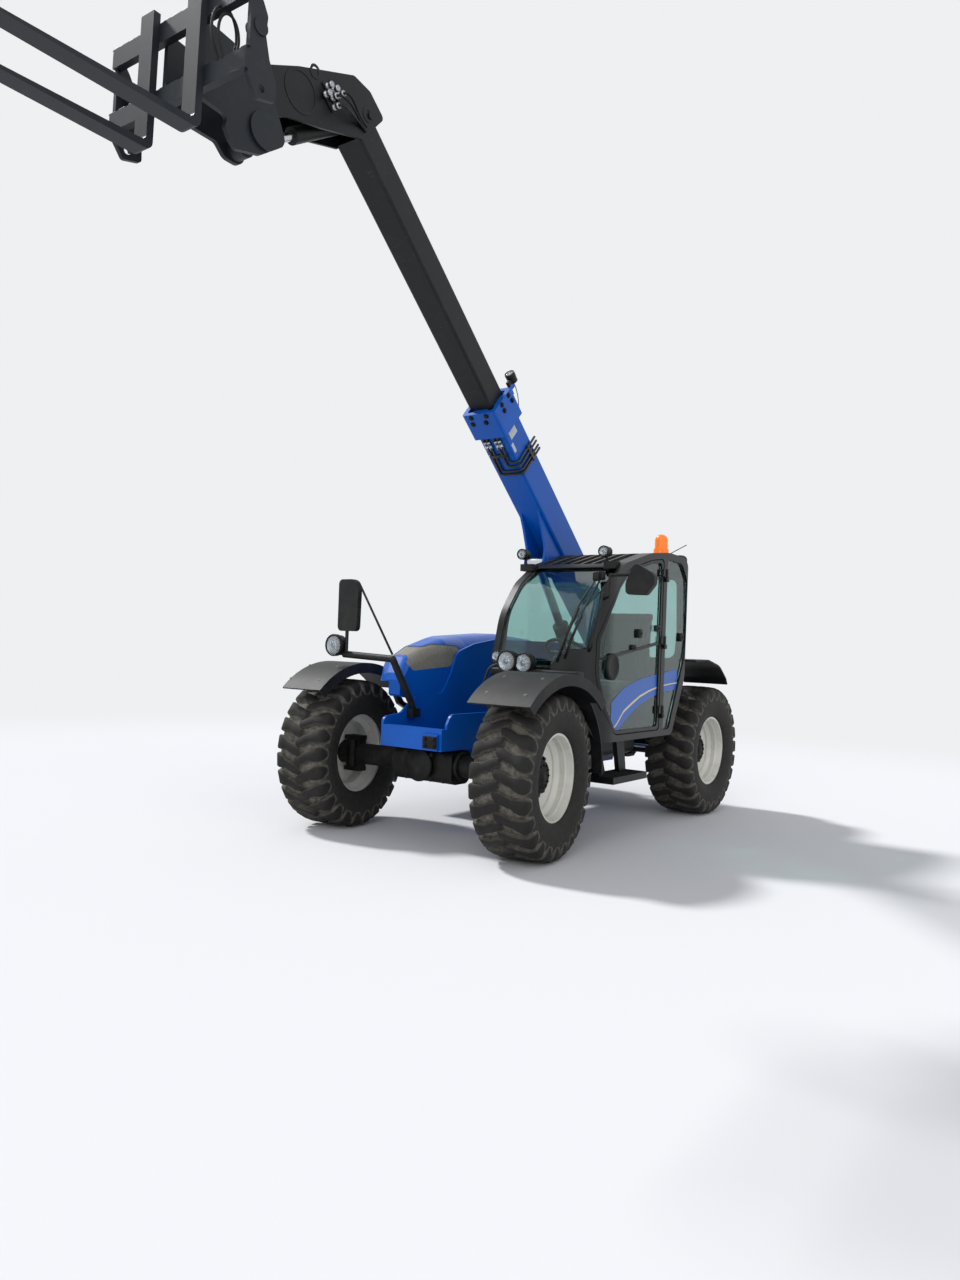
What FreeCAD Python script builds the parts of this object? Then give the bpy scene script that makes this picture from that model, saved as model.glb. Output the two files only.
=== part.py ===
import FreeCAD, Part
import math
import os
import re
import Sketcher

# A telescopic handler: four steered wheels, a cab on the machine's left, an engine hood on its right
# and a two-section boom between them that carries a fork carriage.
# The machine's own frame has X to its left, Y to its rear and Z up. It stands on the ground under the
# middle of the front axle, in the middle plane of the boom.

doc = FreeCAD.newDocument("telehandler")
sheet = doc.addObject("Spreadsheet::Sheet", "Sizes")

# Each row: name, value in millimetres or degrees, what it is
SIZE_TABLE = [
    ("centreline_x", -147, "boom's middle plane, from the middle of the overall width"),
    ("front_axle_y", 154, "front axle, from the middle of the overall length"),
    ("wheelbase", 2850, "front axle to rear axle"),
    ("axle_height", 608, "wheel centre above the ground"),
    ("track_half", 940, "middle plane of a wheel, from the boom's middle plane"),
    ("kingpin_half", 840, "kingpin, from the boom's middle plane"),
    ("steer_front", 7, "turn of the front wheels to the machine's left as it stands"),
    ("tyre_radius", 608, "tyre to the tips of its lugs"),
    ("tyre_width", 450, "tyre at its widest"),
    ("lug_height", 38, "lug above the tread's base"),
    ("bead_radius", 316, "rim's seat for the tyre"),
    ("rim_flange", 338, "outer radius of the rim's flange"),
    ("rim_outer", 181, "outer flange, from the wheel's middle plane"),
    ("rim_inner", 160, "inner flange, from the wheel's middle plane"),
    ("rim_wall", 10, "rim's sheet"),
    ("hub_radius", 122, "planetary hub"),
    ("hub_reach", 62, "hub's outer face, from the wheel's middle plane"),
    ("axle_tube", 85, "radius of an axle's arm"),
    ("housing_radius", 116, "half of the depth of an axle's differential housing"),
    ("housing_half", 290, "half of the width of an axle's differential housing"),
    ("yoke_half", 112, "half of the height between an axle's yoke plates"),
    ("yoke_plate", 34, "thickness of a yoke plate"),
    ("steer_arm", 170, "tie rod, behind or before its axle"),
    ("tie_radius", 18, "radius of a tie rod"),
    ("frame_half", 300, "outer face of a side plate, from the middle plane"),
    ("frame_plate", 22, "thickness of a side plate"),
    ("front_face", 262, "front face of the chassis, ahead of the front axle"),
    ("rear_face", 3330, "rear face of the chassis, behind the front axle"),
    ("belly_z", 470, "underside of the chassis between the axles"),
    ("arch_z", 735, "underside of the chassis over the axles"),
    ("belly_plate", 20, "thickness of the belly and deck plates"),
    ("nose_z", 900, "top of the front cross member"),
    ("pivot_y", 2950, "boom's pivot, behind the front axle"),
    ("pivot_z", 1430, "boom's pivot above the ground"),
    ("pin_radius", 24, "pins of the lift and tilt cylinders"),
    ("pivot_pin", 45, "radius of the boom's pivot pin"),
    ("boom_angle", 41.7, "boom's rise above the horizontal"),
    ("outer_length", 3200, "outer boom from its pivot to its front end"),
    ("outer_width", 270, "outer boom"),
    ("outer_height", 290, "outer boom"),
    ("outer_wall", 10, "outer boom's plate"),
    ("collar_length", 250, "collar at the outer boom's front end"),
    ("collar_width", 330, "collar at the outer boom's front end"),
    ("collar_height", 344, "collar at the outer boom's front end"),
    ("extension", 2190, "inner boom's length out of the collar"),
    ("overlap", 950, "inner boom's length inside the outer boom"),
    ("inner_width", 222, "inner boom"),
    ("inner_height", 222, "inner boom"),
    ("inner_wall", 9, "inner boom's plate"),
    ("ear_ahead", 592, "carriage pivot, past the inner boom's end"),
    ("ear_drop", 766, "carriage pivot, below the boom's axis"),
    ("head_width", 250, "boom head over its side plates"),
    ("head_plate", 18, "boom head's side plates"),
    ("lift_base_y", 2600, "lift cylinder's lower pin, behind the front axle"),
    ("lift_base_z", 830, "lift cylinder's lower pin above the ground"),
    ("lift_lug_s", 1700, "lift cylinder's upper pin, along the boom from its pivot"),
    ("lift_lug_t", 360, "lift cylinder's upper pin, below the boom's axis"),
    ("lift_bore", 75, "outer radius of the lift cylinder's barrel"),
    ("lift_rod", 40, "radius of the lift cylinder's rod"),
    ("tilt_base_s", 75, "tilt cylinder's upper pin, past the inner boom's end"),
    ("tilt_base_t", 79, "tilt cylinder's upper pin, above the boom's axis"),
    ("tilt_bore", 55, "outer radius of the tilt cylinder's barrel"),
    ("tilt_rod", 30, "radius of the tilt cylinder's rod"),
    ("lever_y", 34, "tilt cylinder's lower pin, behind the carriage pivot"),
    ("lever_z", 291, "tilt cylinder's lower pin, below the carriage pivot"),
    ("fork_pitch", 1.66, "rise of the forks towards their tips"),
    ("fork_length", 1200, "tine from its heel to its tip"),
    ("fork_width", 120, "tine"),
    ("fork_thickness", 45, "tine"),
    ("fork_half", 217, "middle of a tine, from the middle plane"),
    ("fork_face", 571, "front face of the tines' shanks, ahead of the carriage pivot"),
    ("fork_under", 552, "underside of the tines, below the carriage pivot"),
    ("shank_top", 250, "top of the tines' shanks, above the carriage pivot"),
    ("bar_half", 620, "half of the fork bars' length"),
    ("bar_height", 115, "height of a fork bar"),
    ("bar_depth", 45, "thickness of a fork bar"),
    ("bar_span", 508, "top of the upper fork bar to the bottom of the lower one"),
    ("bar_low", 312, "bottom of the lower fork bar, below the carriage pivot"),
    ("cab_front", 470, "cab's foremost point, behind the front axle"),
    ("cab_rear", 2370, "cab's rearmost point, behind the front axle"),
    ("cab_roof", 2400, "top of the cab's roof"),
    ("cab_corner", 450, "plan radius of the cab's corner beside the door"),
    ("cab_inner", 210, "cab's side beside the boom, from the middle plane"),
    ("cab_outer", 1100, "cab's door side, from the middle plane"),
    ("cab_wall", 46, "thickness of the cab's posts and walls"),
    ("plate_top", 1010, "top of the chassis's left side plate"),
    ("cab_floor", 806, "underside of the cab"),
    ("glass_thickness", 8, "cab's panes"),
    ("door_post_y", 1780, "post that carries the door, behind the front axle"),
    ("door_gap", 8, "gap round the door"),
    ("hood_inner", 306, "hood's side beside the boom, from the middle plane"),
    ("hood_outer", 1020, "hood's outer side, from the middle plane"),
    ("hood_wall", 14, "hood's shell"),
    ("hood_top", 1630, "top of the hood"),
    ("fender_radius", 735, "inside of a front fender, about its axle"),
    ("fender_wall", 14, "fender's shell"),
    ("fender_flange", 70, "depth of a fender's side flange"),
    ("pipe_radius", 9, "hydraulic pipes on the boom"),
    ("step_z", 480, "underside of the cab's step"),
]

# Axis directions of the sketch planes: the first sketch axis, the second and the normal
PLANES = {
    "XY": ((1, 0, 0), (0, 1, 0), (0, 0, 1)),
    "YZ": ((0, 1, 0), (0, 0, 1), (1, 0, 0)),
    "ZX": ((0, 0, 1), (1, 0, 0), (0, 1, 0)),
}
NORMAL_SLOT = {"XY": 2, "YZ": 0, "ZX": 1}

for row, (alias, size, meaning) in enumerate(SIZE_TABLE, 1):
    sheet.set("A%d" % row, alias)
    sheet.set("B%d" % row, str(size))
    sheet.set("C%d" % row, meaning)
    sheet.setAlias("B%d" % row, alias)
doc.recompute()

ALIASES = set(alias for alias, size, meaning in SIZE_TABLE)
WORD = re.compile(r"[A-Za-z_]\w*")
gauge = doc.addObject("Part::Vertex", "gauge")
sub_parts = []
counter = [0]


def fx(formula):
    """Point every size's name in a formula at the sheet."""
    return WORD.sub(lambda w: "Sizes." + w.group() if w.group() in ALIASES else w.group(), str(formula))


def value(formula):
    """What a formula comes to, worked out by the document."""
    gauge.setExpression("X", fx(formula))
    gauge.recompute()
    return float(gauge.X)


def name_of(kind):
    """A fresh name for a helper object."""
    counter[0] += 1
    return "%s_%03d" % (kind, counter[0])


def bind(piece, **formulas):
    """Bind properties of an object to formulas."""
    for prop, formula in formulas.items():
        piece.setExpression(prop.replace("__", "."), fx(formula))
    return piece


def at(piece, x=0, y=0, z=0):
    """Bind an object's place to formulas."""
    return bind(piece, Placement__Base__x=x, Placement__Base__y=y, Placement__Base__z=z)


def box(x, y, z):
    """A block between two formulas along each axis."""
    piece = doc.addObject("Part::Box", name_of("block"))
    bind(piece, Length="(%s) - (%s)" % (x[1], x[0]), Width="(%s) - (%s)" % (y[1], y[0]),
         Height="(%s) - (%s)" % (z[1], z[0]))
    return at(piece, x[0], y[0], z[0])


def rod(axis, start, end, radius, across):
    """A round bar along an axis; across gives its place on the other two axes, in X, Y, Z order."""
    piece = doc.addObject("Part::Cylinder", name_of("rod"))
    bind(piece, Radius=radius, Height="(%s) - (%s)" % (end, start))
    if axis == "X":
        piece.Placement = FreeCAD.Placement(FreeCAD.Vector(), FreeCAD.Rotation(FreeCAD.Vector(0, 1, 0), 90))
        return at(piece, start, across[0], across[1])
    if axis == "Y":
        piece.Placement = FreeCAD.Placement(FreeCAD.Vector(), FreeCAD.Rotation(FreeCAD.Vector(1, 0, 0),
            -90))
        return at(piece, across[0], start, across[1])
    return at(piece, across[0], across[1], start)


def strut(start, end, radius):
    """A round bar between two points, each given by three formulas."""
    ends = [FreeCAD.Vector(*[value(c) for c in point]) for point in (start, end)]
    piece = doc.addObject("Part::Cylinder", name_of("strut"))
    bind(piece, Radius=radius, Height="%.4f" % (ends[1] - ends[0]).Length)
    piece.Placement = FreeCAD.Placement(FreeCAD.Vector(), FreeCAD.Rotation(FreeCAD.Vector(0, 0, 1),
        ends[1] - ends[0]))
    return at(piece, *start)


def ball(radius, x, y, z):
    """A ball."""
    return at(bind(doc.addObject("Part::Sphere", name_of("ball")), Radius=radius), x, y, z)


def corner_arc(before, point, after, radius):
    """Ends, centre and middle of the arc that rounds a corner."""
    to_before = (before - point).normalize()
    to_after = (after - point).normalize()
    half = to_before.getAngle(to_after) / 2
    middle = (to_before + to_after).normalize()
    back = radius / math.tan(half)
    centre = point + middle * (radius / math.sin(half))
    return point + to_before * back, point + to_after * back, centre - middle * radius


def outline(plane, start, points, holes=(), closed=True):
    """A sketch of straight lines whose corners may be rounded.

    Each point is (first, second) or (first, second, radius), each hole (first, second, radius).
    """
    sketch = doc.addObject("Sketcher::SketchObject", name_of("outline"))
    first, second, normal = [FreeCAD.Vector(*axis) for axis in PLANES[plane]]
    sketch.Placement = FreeCAD.Placement(FreeCAD.Vector(), FreeCAD.Rotation(first, second, normal, "XYZ"))
    slot = NORMAL_SLOT[plane]
    bind(sketch, **{"Placement__Base__" + "xyz"[slot]: start})
    flat = [FreeCAD.Vector(value(p[0]), value(p[1]), 0) for p in points]
    radii = [value(p[2]) if len(p) > 2 else 0 for p in points]
    count = len(points)
    ends = []
    for i, point in enumerate(flat):
        if radii[i]:
            ends.append(corner_arc(flat[i - 1], point, flat[(i + 1) % count], radii[i]))
        else:
            ends.append((point, point, point))
    lines = []
    spans = count if closed else count - 1
    for i in range(spans):
        lines.append(sketch.addGeometry(Part.LineSegment(ends[i][1], ends[(i + 1) % count][0]), False))
    for i, point in enumerate(flat):
        incoming = lines[i - 1]
        outgoing = lines[i % spans]
        if not closed and i in (0, count - 1):
            end = (incoming, 2) if i else (outgoing, 1)
            fix(sketch, "DistanceX", (-1, 1) + end, point.x, points[i][0])
            fix(sketch, "DistanceY", (-1, 1) + end, point.y, points[i][1])
        elif radii[i]:
            arc = Part.Arc(ends[i][0], ends[i][2], ends[i][1])
            curve = sketch.addGeometry(arc, False)
            head, tail = 1, 2
            if (sketch.getPoint(curve, 1) - ends[i][0]).Length > (sketch.getPoint(curve,
                2) - ends[i][0]).Length:
                head, tail = 2, 1
            sketch.addConstraint(Sketcher.Constraint("Tangent", incoming, 2, curve, head))
            sketch.addConstraint(Sketcher.Constraint("Tangent", outgoing, 1, curve, tail))
            mark = sketch.addGeometry(Part.Point(point), True)
            sketch.addConstraint(Sketcher.Constraint("PointOnObject", mark, 1, incoming))
            sketch.addConstraint(Sketcher.Constraint("PointOnObject", mark, 1, outgoing))
            fix(sketch, "Radius", (curve,), radii[i], points[i][2])
            fix(sketch, "DistanceX", (-1, 1, mark, 1), point.x, points[i][0])
            fix(sketch, "DistanceY", (-1, 1, mark, 1), point.y, points[i][1])
        else:
            sketch.addConstraint(Sketcher.Constraint("Coincident", incoming, 2, outgoing, 1))
            fix(sketch, "DistanceX", (-1, 1, outgoing, 1), point.x, points[i][0])
            fix(sketch, "DistanceY", (-1, 1, outgoing, 1), point.y, points[i][1])
    for hole in holes:
        centre = FreeCAD.Vector(value(hole[0]), value(hole[1]), 0)
        circle = sketch.addGeometry(Part.Circle(centre, FreeCAD.Vector(0, 0, 1), value(hole[2])), False)
        fix(sketch, "Radius", (circle,), value(hole[2]), hole[2])
        fix(sketch, "DistanceX", (-1, 1, circle, 3), centre.x, hole[0])
        fix(sketch, "DistanceY", (-1, 1, circle, 3), centre.y, hole[1])
    return sketch


def fix(sketch, kind, targets, size, formula):
    """Add a sized constraint bound to a formula."""
    index = sketch.addConstraint(Sketcher.Constraint(kind, *targets, size))
    sketch.setExpression("Constraints[%d]" % index, fx(formula))


def slab(plane, start, end, points, holes=()):
    """A plate: an outline pushed from one formula to another along its plane's normal."""
    sketch = outline(plane, start, points, holes)
    piece = doc.addObject("Part::Extrusion", name_of("slab"))
    piece.Base = sketch
    piece.DirMode = "Normal"
    piece.Solid = True
    piece.FaceMakerClass = "Part::FaceMakerBullseye"
    return bind(piece, LengthFwd="(%s) - (%s)" % (end, start))


def pipe(plane, level, points, radius):
    """A bent pipe whose route lies in one plane."""
    route = outline(plane, level, points, closed=False)
    route.recompute()
    spread = {"XY": lambda p: (p[0], p[1], level), "YZ": lambda p: (level, p[0], p[1]),
              "ZX": lambda p: (p[1], level, p[0])}[plane]
    start, towards = [FreeCAD.Vector(*[value(c) for c in spread(p)]) for p in points[:2]]
    section = bind(doc.addObject("Part::Circle", name_of("section")), Radius=radius)
    section.Placement = FreeCAD.Placement(start, FreeCAD.Rotation(FreeCAD.Vector(0, 0, 1), towards - start))
    at(section, *spread(points[0]))
    piece = doc.addObject("Part::Sweep", name_of("pipe"))
    piece.Sections = [section]
    piece.Spine = (route, ["Edge%d" % (i + 1) for i in range(len(route.Shape.Edges))])
    piece.Solid = True
    piece.Frenet = True
    return piece


def turned(points, axis=(1, 0, 0)):
    """A turned piece: an outline in the XY plane spun about an axis through the origin."""
    sketch = outline("XY", 0, points)
    piece = doc.addObject("Part::Revolution", name_of("turned"))
    piece.Source = sketch
    piece.Axis = FreeCAD.Vector(*axis)
    piece.Angle = 360
    piece.Solid = True
    return piece


def join(*pieces):
    """Weld pieces into one."""
    piece = doc.addObject("Part::MultiFuse", name_of("join"))
    piece.Shapes = list(pieces)
    piece.Refine = True
    return piece


def cut(base, *tools):
    """Take tools away from a piece."""
    piece = doc.addObject("Part::Cut", name_of("cut"))
    piece.Base = base
    piece.Tool = tools[0] if len(tools) == 1 else join(*tools)
    piece.Refine = True
    return piece


def common(*pieces):
    """What pieces share."""
    piece = doc.addObject("Part::MultiCommon", name_of("common"))
    piece.Shapes = list(pieces)
    piece.Refine = True
    return piece


def group(*pieces):
    """Pieces that don't touch, kept together."""
    piece = doc.addObject("Part::Compound", name_of("group"))
    piece.Links = list(pieces)
    return piece


def placed(x, y, z, axis=(0, 0, 1), angle=0):
    """A placement formula: a place and a turn about an axis."""
    return ("create(<<placement>>; create(<<vector>>; %s; %s; %s); "
            "create(<<rotation>>; create(<<vector>>; %d; %d; %d); %s))" % ((x, y, z) + axis + (angle,)))


def sub_part(label, piece, place):
    """Name a finished sub-part and put it in its place."""
    if piece.TypeId not in ("Part::Cut", "Part::MultiFuse", "Part::MultiCommon", "Part::Compound"):
        piece = group(piece)
    piece.Label = label
    piece.setExpression("Placement", fx(place))
    sub_parts.append(piece)
    return piece


MACHINE = placed("centreline_x", "front_axle_y", "0")
BOOM = placed("centreline_x", "front_axle_y + pivot_y", "pivot_z", (1, 0, 0), "-boom_angle")

# Wheels: a tyre and a rim each, turned about the wheel's own axis with its outer side along +X.
TYRE_PROFILE = [
    ("-tyre_width / 2 + 52", "bead_radius"),
    ("-tyre_width / 2", "bead_radius + 110"),
    ("-tyre_width / 2", "tyre_radius - 92"),
    ("-tyre_width / 2 + 50", "tyre_radius - lug_height"),
    ("tyre_width / 2 - 50", "tyre_radius - lug_height"),
    ("tyre_width / 2", "tyre_radius - 92"),
    ("tyre_width / 2", "bead_radius + 110"),
    ("tyre_width / 2 - 52", "bead_radius"),
]
# One lug from above, from the middle of the tread to its shoulder: place along the axis and round it
LUG_OUTLINE = [("6", "-36"), ("40", "-42"), ("tyre_width / 2 - 8", "26"), ("tyre_width / 2 - 8", "90")]
LUG_COUNT = 25
lug_span = ("tyre_radius - 62", "sqrt(tyre_radius * tyre_radius - 8100)")
lug = slab("XY", lug_span[0], lug_span[1], LUG_OUTLINE)
far_lug = slab("XY", lug_span[0], lug_span[1], [("-(%s)" % x, y) for x, y in reversed(LUG_OUTLINE)])
tread = []
for i in range(LUG_COUNT):
    for source, step in ((lug, i), (far_lug, i + 0.5)):
        block = group(source)
        block.setExpression("Placement", placed("0", "0", "0", (1, 0, 0), "360 * %g / %d" % (step,
            LUG_COUNT)))
        tread.append(block)
tyre = join(turned(TYRE_PROFILE), *tread)
tyre.Refine = False
# Rim's cross-section: place along the axis and radius; it wraps round the drop centre and the disc.
RIM_PROFILE = [
    ("-rim_inner", "rim_flange"),
    ("-rim_inner + 14", "rim_flange"),
    ("-rim_inner + 14", "bead_radius - 0.3"),
    ("-rim_inner + 52", "bead_radius - 6"),
    ("-rim_inner + 84", "bead_radius - 44"),
    ("40", "bead_radius - 44"),
    ("72", "bead_radius - 18"),
    ("112", "bead_radius - 18"),
    ("124", "bead_radius - 0.3"),
    ("rim_outer - 14", "bead_radius - 0.3"),
    ("rim_outer - 14", "rim_flange"),
    ("rim_outer", "rim_flange"),
    ("rim_outer", "bead_radius - 12"),
    ("132", "bead_radius - 12 - rim_wall"),
    ("120", "bead_radius - 18 - rim_wall"),
    ("78", "bead_radius - 18 - rim_wall"),
    ("46", "bead_radius - 44 - rim_wall"),
    ("30", "bead_radius - 44 - rim_wall"),
    ("14", "hub_radius + 30"),
    ("14", "hub_radius - 8"),
    ("hub_reach", "hub_radius - 8"),
    ("hub_reach", "0"),
    ("-14", "0"),
    ("-14", "hub_radius + 30"),
    ("4", "bead_radius - 44 - rim_wall"),
    ("-rim_inner + 88", "bead_radius - 44 - rim_wall"),
    ("-rim_inner + 56", "bead_radius - 6 - rim_wall"),
    ("-rim_inner", "bead_radius - 12"),
]
# name, side of the machine, axle, turn as it stands
WHEEL_TABLE = [
    ("front_left", 1, "0", "steer_front"),
    ("front_right", -1, "0", "steer_front"),
    ("rear_left", 1, "wheelbase", "0"),
    ("rear_right", -1, "wheelbase", "0"),
]
for name, side, axle, turn in WHEEL_TABLE:
    offset = "(track_half - kingpin_half)"
    wheel_x = "centreline_x + %d * (kingpin_half + %s * cos(%s))" % (side, offset, turn)
    wheel_y = "front_axle_y + %s + %d * %s * sin(%s)" % (axle, side, offset, turn)
    facing = turn if side > 0 else turn + " + 180"
    wheel_place = placed(wheel_x, wheel_y, "axle_height", (0, 0, 1), facing)
    sub_part("tyre_" + name, group(tyre), wheel_place)
    sub_part("rim_" + name, turned(RIM_PROFILE), wheel_place)
    pin_place = placed("centreline_x + %d * kingpin_half" % side, "front_axle_y + " + axle, "axle_height",
                       (0, 0, 1), facing)
    # the arm points at the tie rod, behind the front axle and ahead of the rear one
    arm_side = side if axle == "0" else -side
    arm_tip = "%d * steer_arm" % arm_side
    knuckle = join(
        rod("Z", "-yoke_half + 0.4", "yoke_half - 0.4", "52", ("0", "0")),
        rod("X", "0", "track_half - kingpin_half - 14.5", "92", ("0", "0")),
        slab("XY", "24", "52", [("-30", "0"), ("30", "0"), ("-10", arm_tip), ("-50",
            arm_tip)] if arm_side > 0 else
             [("30", "0"), ("-30", "0"), ("-50", arm_tip), ("-10", arm_tip)]))
    sub_part("knuckle_" + name, knuckle, pin_place)

# Axles: a housing with two arms that end in yokes round the kingpins, and a double-ended steering
# cylinder whose rod joins the two knuckles.
for name, axle, behind, turn in (("front", "0", 1, "steer_front"), ("rear", "wheelbase", -1, "0")):
    tie_y = "%d * steer_arm" % behind
    shift = "(-%d * steer_arm * sin(%s))" % (behind, turn)
    yokes = []
    for inner, outer in (("kingpin_half - 112", "kingpin_half + 48"), ("-kingpin_half - 48",
        "-kingpin_half + 112")):
        yokes.append(box((inner, outer), ("-48", "48"), ("yoke_half", "yoke_half + yoke_plate")))
        yokes.append(box((inner, outer), ("-48", "48"), ("-yoke_half - yoke_plate", "-yoke_half")))
    for inner, outer in (("kingpin_half - 112", "kingpin_half - 84"), ("-kingpin_half + 84",
        "-kingpin_half + 112")):
        yokes.append(box((inner, outer), ("-40", "40"), ("-yoke_half", "yoke_half")))
    beam = join(rod("X", "-kingpin_half + 110", "kingpin_half - 110", "axle_tube", ("0", "0")),
                slab("YZ", "-housing_half", "housing_half", [
                    ("-housing_radius", "-housing_radius - 22", "60"), ("housing_radius",
                        "-housing_radius - 22", "60"),
                    ("housing_radius", "housing_radius - 2", "40"), ("-housing_radius",
                        "housing_radius - 2", "40")]),
                rod("X", "-230", "230", "46", (tie_y, "0")),
                box(("-90", "90"), ("-60", "60"), ("0", "arch_z - axle_height - 0.3")),
                box(("-60", "60"), ("min(0; %s)" % tie_y, "max(0; %s)" % tie_y), ("-40", "40")),
                *yokes)
    sub_part("axle_" + name, cut(beam, rod("X", "-240", "240", "tie_radius + 0.6", (tie_y, "0"))),
             placed("centreline_x", "front_axle_y + " + axle, "axle_height"))
    sub_part("tie_rod_" + name, rod("X", shift + " - kingpin_half + 20", shift + " + kingpin_half - 20",
                                    "tie_radius", (tie_y, "0")),
             placed("centreline_x", "front_axle_y + " + axle, "axle_height"))

# Chassis: two side plates with belly and deck plates between them. The right one rises in a curve beside
# the hood, and both rise at the rear to carry the boom's pivot.
PIVOT_HOLE = ("pivot_y", "pivot_z", "pivot_pin + 0.5")
LEFT_PLATE = [
    ("-front_face + 60", "arch_z"),
    ("310", "arch_z", "60"),
    ("430", "belly_z", "60"),
    ("wheelbase - 400", "belly_z", "60"),
    ("wheelbase - 270", "arch_z", "60"),
    ("rear_face", "arch_z"),
    ("rear_face", "1240", "120"),
    ("pivot_y + 170", "pivot_z + 160", "120"),
    ("pivot_y - 190", "pivot_z + 170", "160"),
    ("2480", "plate_top", "300"),
    ("-150", "plate_top", "60"),
    ("-front_face + 60", "930", "40"),
]
RIGHT_PLATE = [
    ("-front_face", "arch_z"),
    ("310", "arch_z", "60"),
    ("430", "belly_z", "60"),
    ("wheelbase - 400", "belly_z", "60"),
    ("wheelbase - 270", "arch_z", "60"),
    ("rear_face", "arch_z"),
    ("rear_face", "1240", "120"),
    ("pivot_y + 170", "pivot_z + 160", "120"),
    ("1200", "hood_top - 40", "400"),
    ("900", "hood_top - 85", "150"),
    ("655", "1470", "120"),
    ("585", "1290", "200"),
    ("470", "1118", "100"),
    ("130", "1112", "120"),
    ("-60", "975", "120"),
    ("-front_face", "960", "60"),
]
side_plates = [
    slab("YZ", "frame_half - frame_plate", "frame_half", LEFT_PLATE, [PIVOT_HOLE]),
    slab("YZ", "-frame_half", "-frame_half + frame_plate", RIGHT_PLATE, [PIVOT_HOLE]),
]
across = ("-frame_half + 1", "frame_half - 1")
between = ("-frame_half + frame_plate - 1", "frame_half - frame_plate + 1")
cross_members = [
    box(across, ("-front_face", "-front_face + 60"), ("arch_z", "nose_z")),
    box(across, ("-front_face + 1", "310"), ("arch_z", "arch_z + belly_plate")),
    box(across, ("430", "wheelbase - 400"), ("belly_z", "belly_z + belly_plate")),
    box(across, ("2480", "rear_face"), ("arch_z", "arch_z + belly_plate")),
    box(across, ("rear_face - 30", "rear_face"), ("arch_z", "1200")),
    box(("136", "276"), ("-front_face - 26", "-front_face + 1"), ("740", "860")),
]
# thickenings round the pivot, so that the boom's rear end runs between them
pivot_bosses = [
    cut(rod("X", "outer_width / 2 + 8", "frame_half", "105", ("pivot_y", "pivot_z")),
        rod("X", "0", "frame_half + 1", "pivot_pin + 0.5", ("pivot_y", "pivot_z"))),
    cut(rod("X", "-frame_half", "-outer_width / 2 - 8", "105", ("pivot_y", "pivot_z")),
        rod("X", "-frame_half - 1", "0", "pivot_pin + 0.5", ("pivot_y", "pivot_z"))),
]
lift_ears = []
for inner, outer in (("46", "72"), ("-72", "-46")):
    lift_ears.append(slab("YZ", inner, outer, [
        ("lift_base_y - 90", "arch_z + 1"), ("lift_base_y + 90", "arch_z + 1"),
        ("lift_base_y + 58", "lift_base_z + 55", "56"), ("lift_base_y - 58", "lift_base_z + 55", "56")]))
lift_ears.append(rod("X", "-84", "84", "pin_radius", ("lift_base_y", "lift_base_z")))
hood_brackets = []
for y in ("950", "1850"):
    hood_brackets.append(box(("-frame_half - 42", "-frame_half + 2"), (y, y + " + 10"), ("1515", "1545")))
    hood_brackets.append(rod("Y", y + " + 1", y + " + 95", "6", ("-hood_inner - 19", "1530")))
chassis = join(*(side_plates + cross_members + pivot_bosses + lift_ears + hood_brackets))
sub_part("chassis_frame", chassis, MACHINE)
sub_part("boom_pivot_pin", rod("X", "-frame_half - 12", "frame_half + 12", "pivot_pin", ("pivot_y",
    "pivot_z")),
         MACHINE)

# Boom: in its own frame the boom's axis runs along -Y from the pivot, with Z above it.
def boom_span(start, end):
    """Span along the boom, counted from its pivot towards the forks."""
    return ("-(%s)" % end, "-(%s)" % start)


def tube(width, height, start, end, inset="0"):
    """A square bar with rounded edges along the boom, shrunk all round by an inset."""
    half = "(%s / 2 - (%s))" % (width, inset)
    rise = "(%s / 2 - (%s))" % (height, inset)
    radius = "22 - (%s) * 0.8" % inset
    return slab("ZX", boom_span(start, end)[0], boom_span(start, end)[1], [
        ("-" + rise, "-" + half, radius), (rise, "-" + half, radius), (rise, half, radius), ("-" + rise,
            half, radius)])


barrel_out = tube("outer_width", "outer_height", "170", "outer_length")
collar_out = tube("collar_width", "collar_height", "outer_length - collar_length", "outer_length")
boom_eye = rod("X", "-outer_width / 2", "outer_width / 2", "125", ("0", "0"))
boom_heel = slab("YZ", "-outer_width / 2", "outer_width / 2", [
    ("0", "-125"), ("0", "125"), ("-260", "outer_height / 2 - 1"), ("-260", "-outer_height / 2 + 1")])
gusset = []
for inner, outer in (("lift_bore + 10", "lift_bore + 32"), ("-lift_bore - 32", "-lift_bore - 10")):
    gusset.append(slab("YZ", inner, outer, [
        ("-lift_lug_s - 430", "-outer_height / 2 + 2"),
        ("-lift_lug_s - 275", "-lift_lug_t + 149", "120"),
        ("-lift_lug_s - 116", "-lift_lug_t + 64", "100"),
        ("-lift_lug_s - 40", "-lift_lug_t - 60", "60"),
        ("-lift_lug_s + 60", "-lift_lug_t - 60", "60"),
        ("-lift_lug_s + 400", "-outer_height / 2 + 2")]))
for inner, outer in (("lift_bore + 10", "lift_bore + 48"), ("-lift_bore - 48", "-lift_bore - 10")):
    gusset.append(rod("X", inner, outer, "42", ("-lift_lug_s", "-lift_lug_t")))
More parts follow.
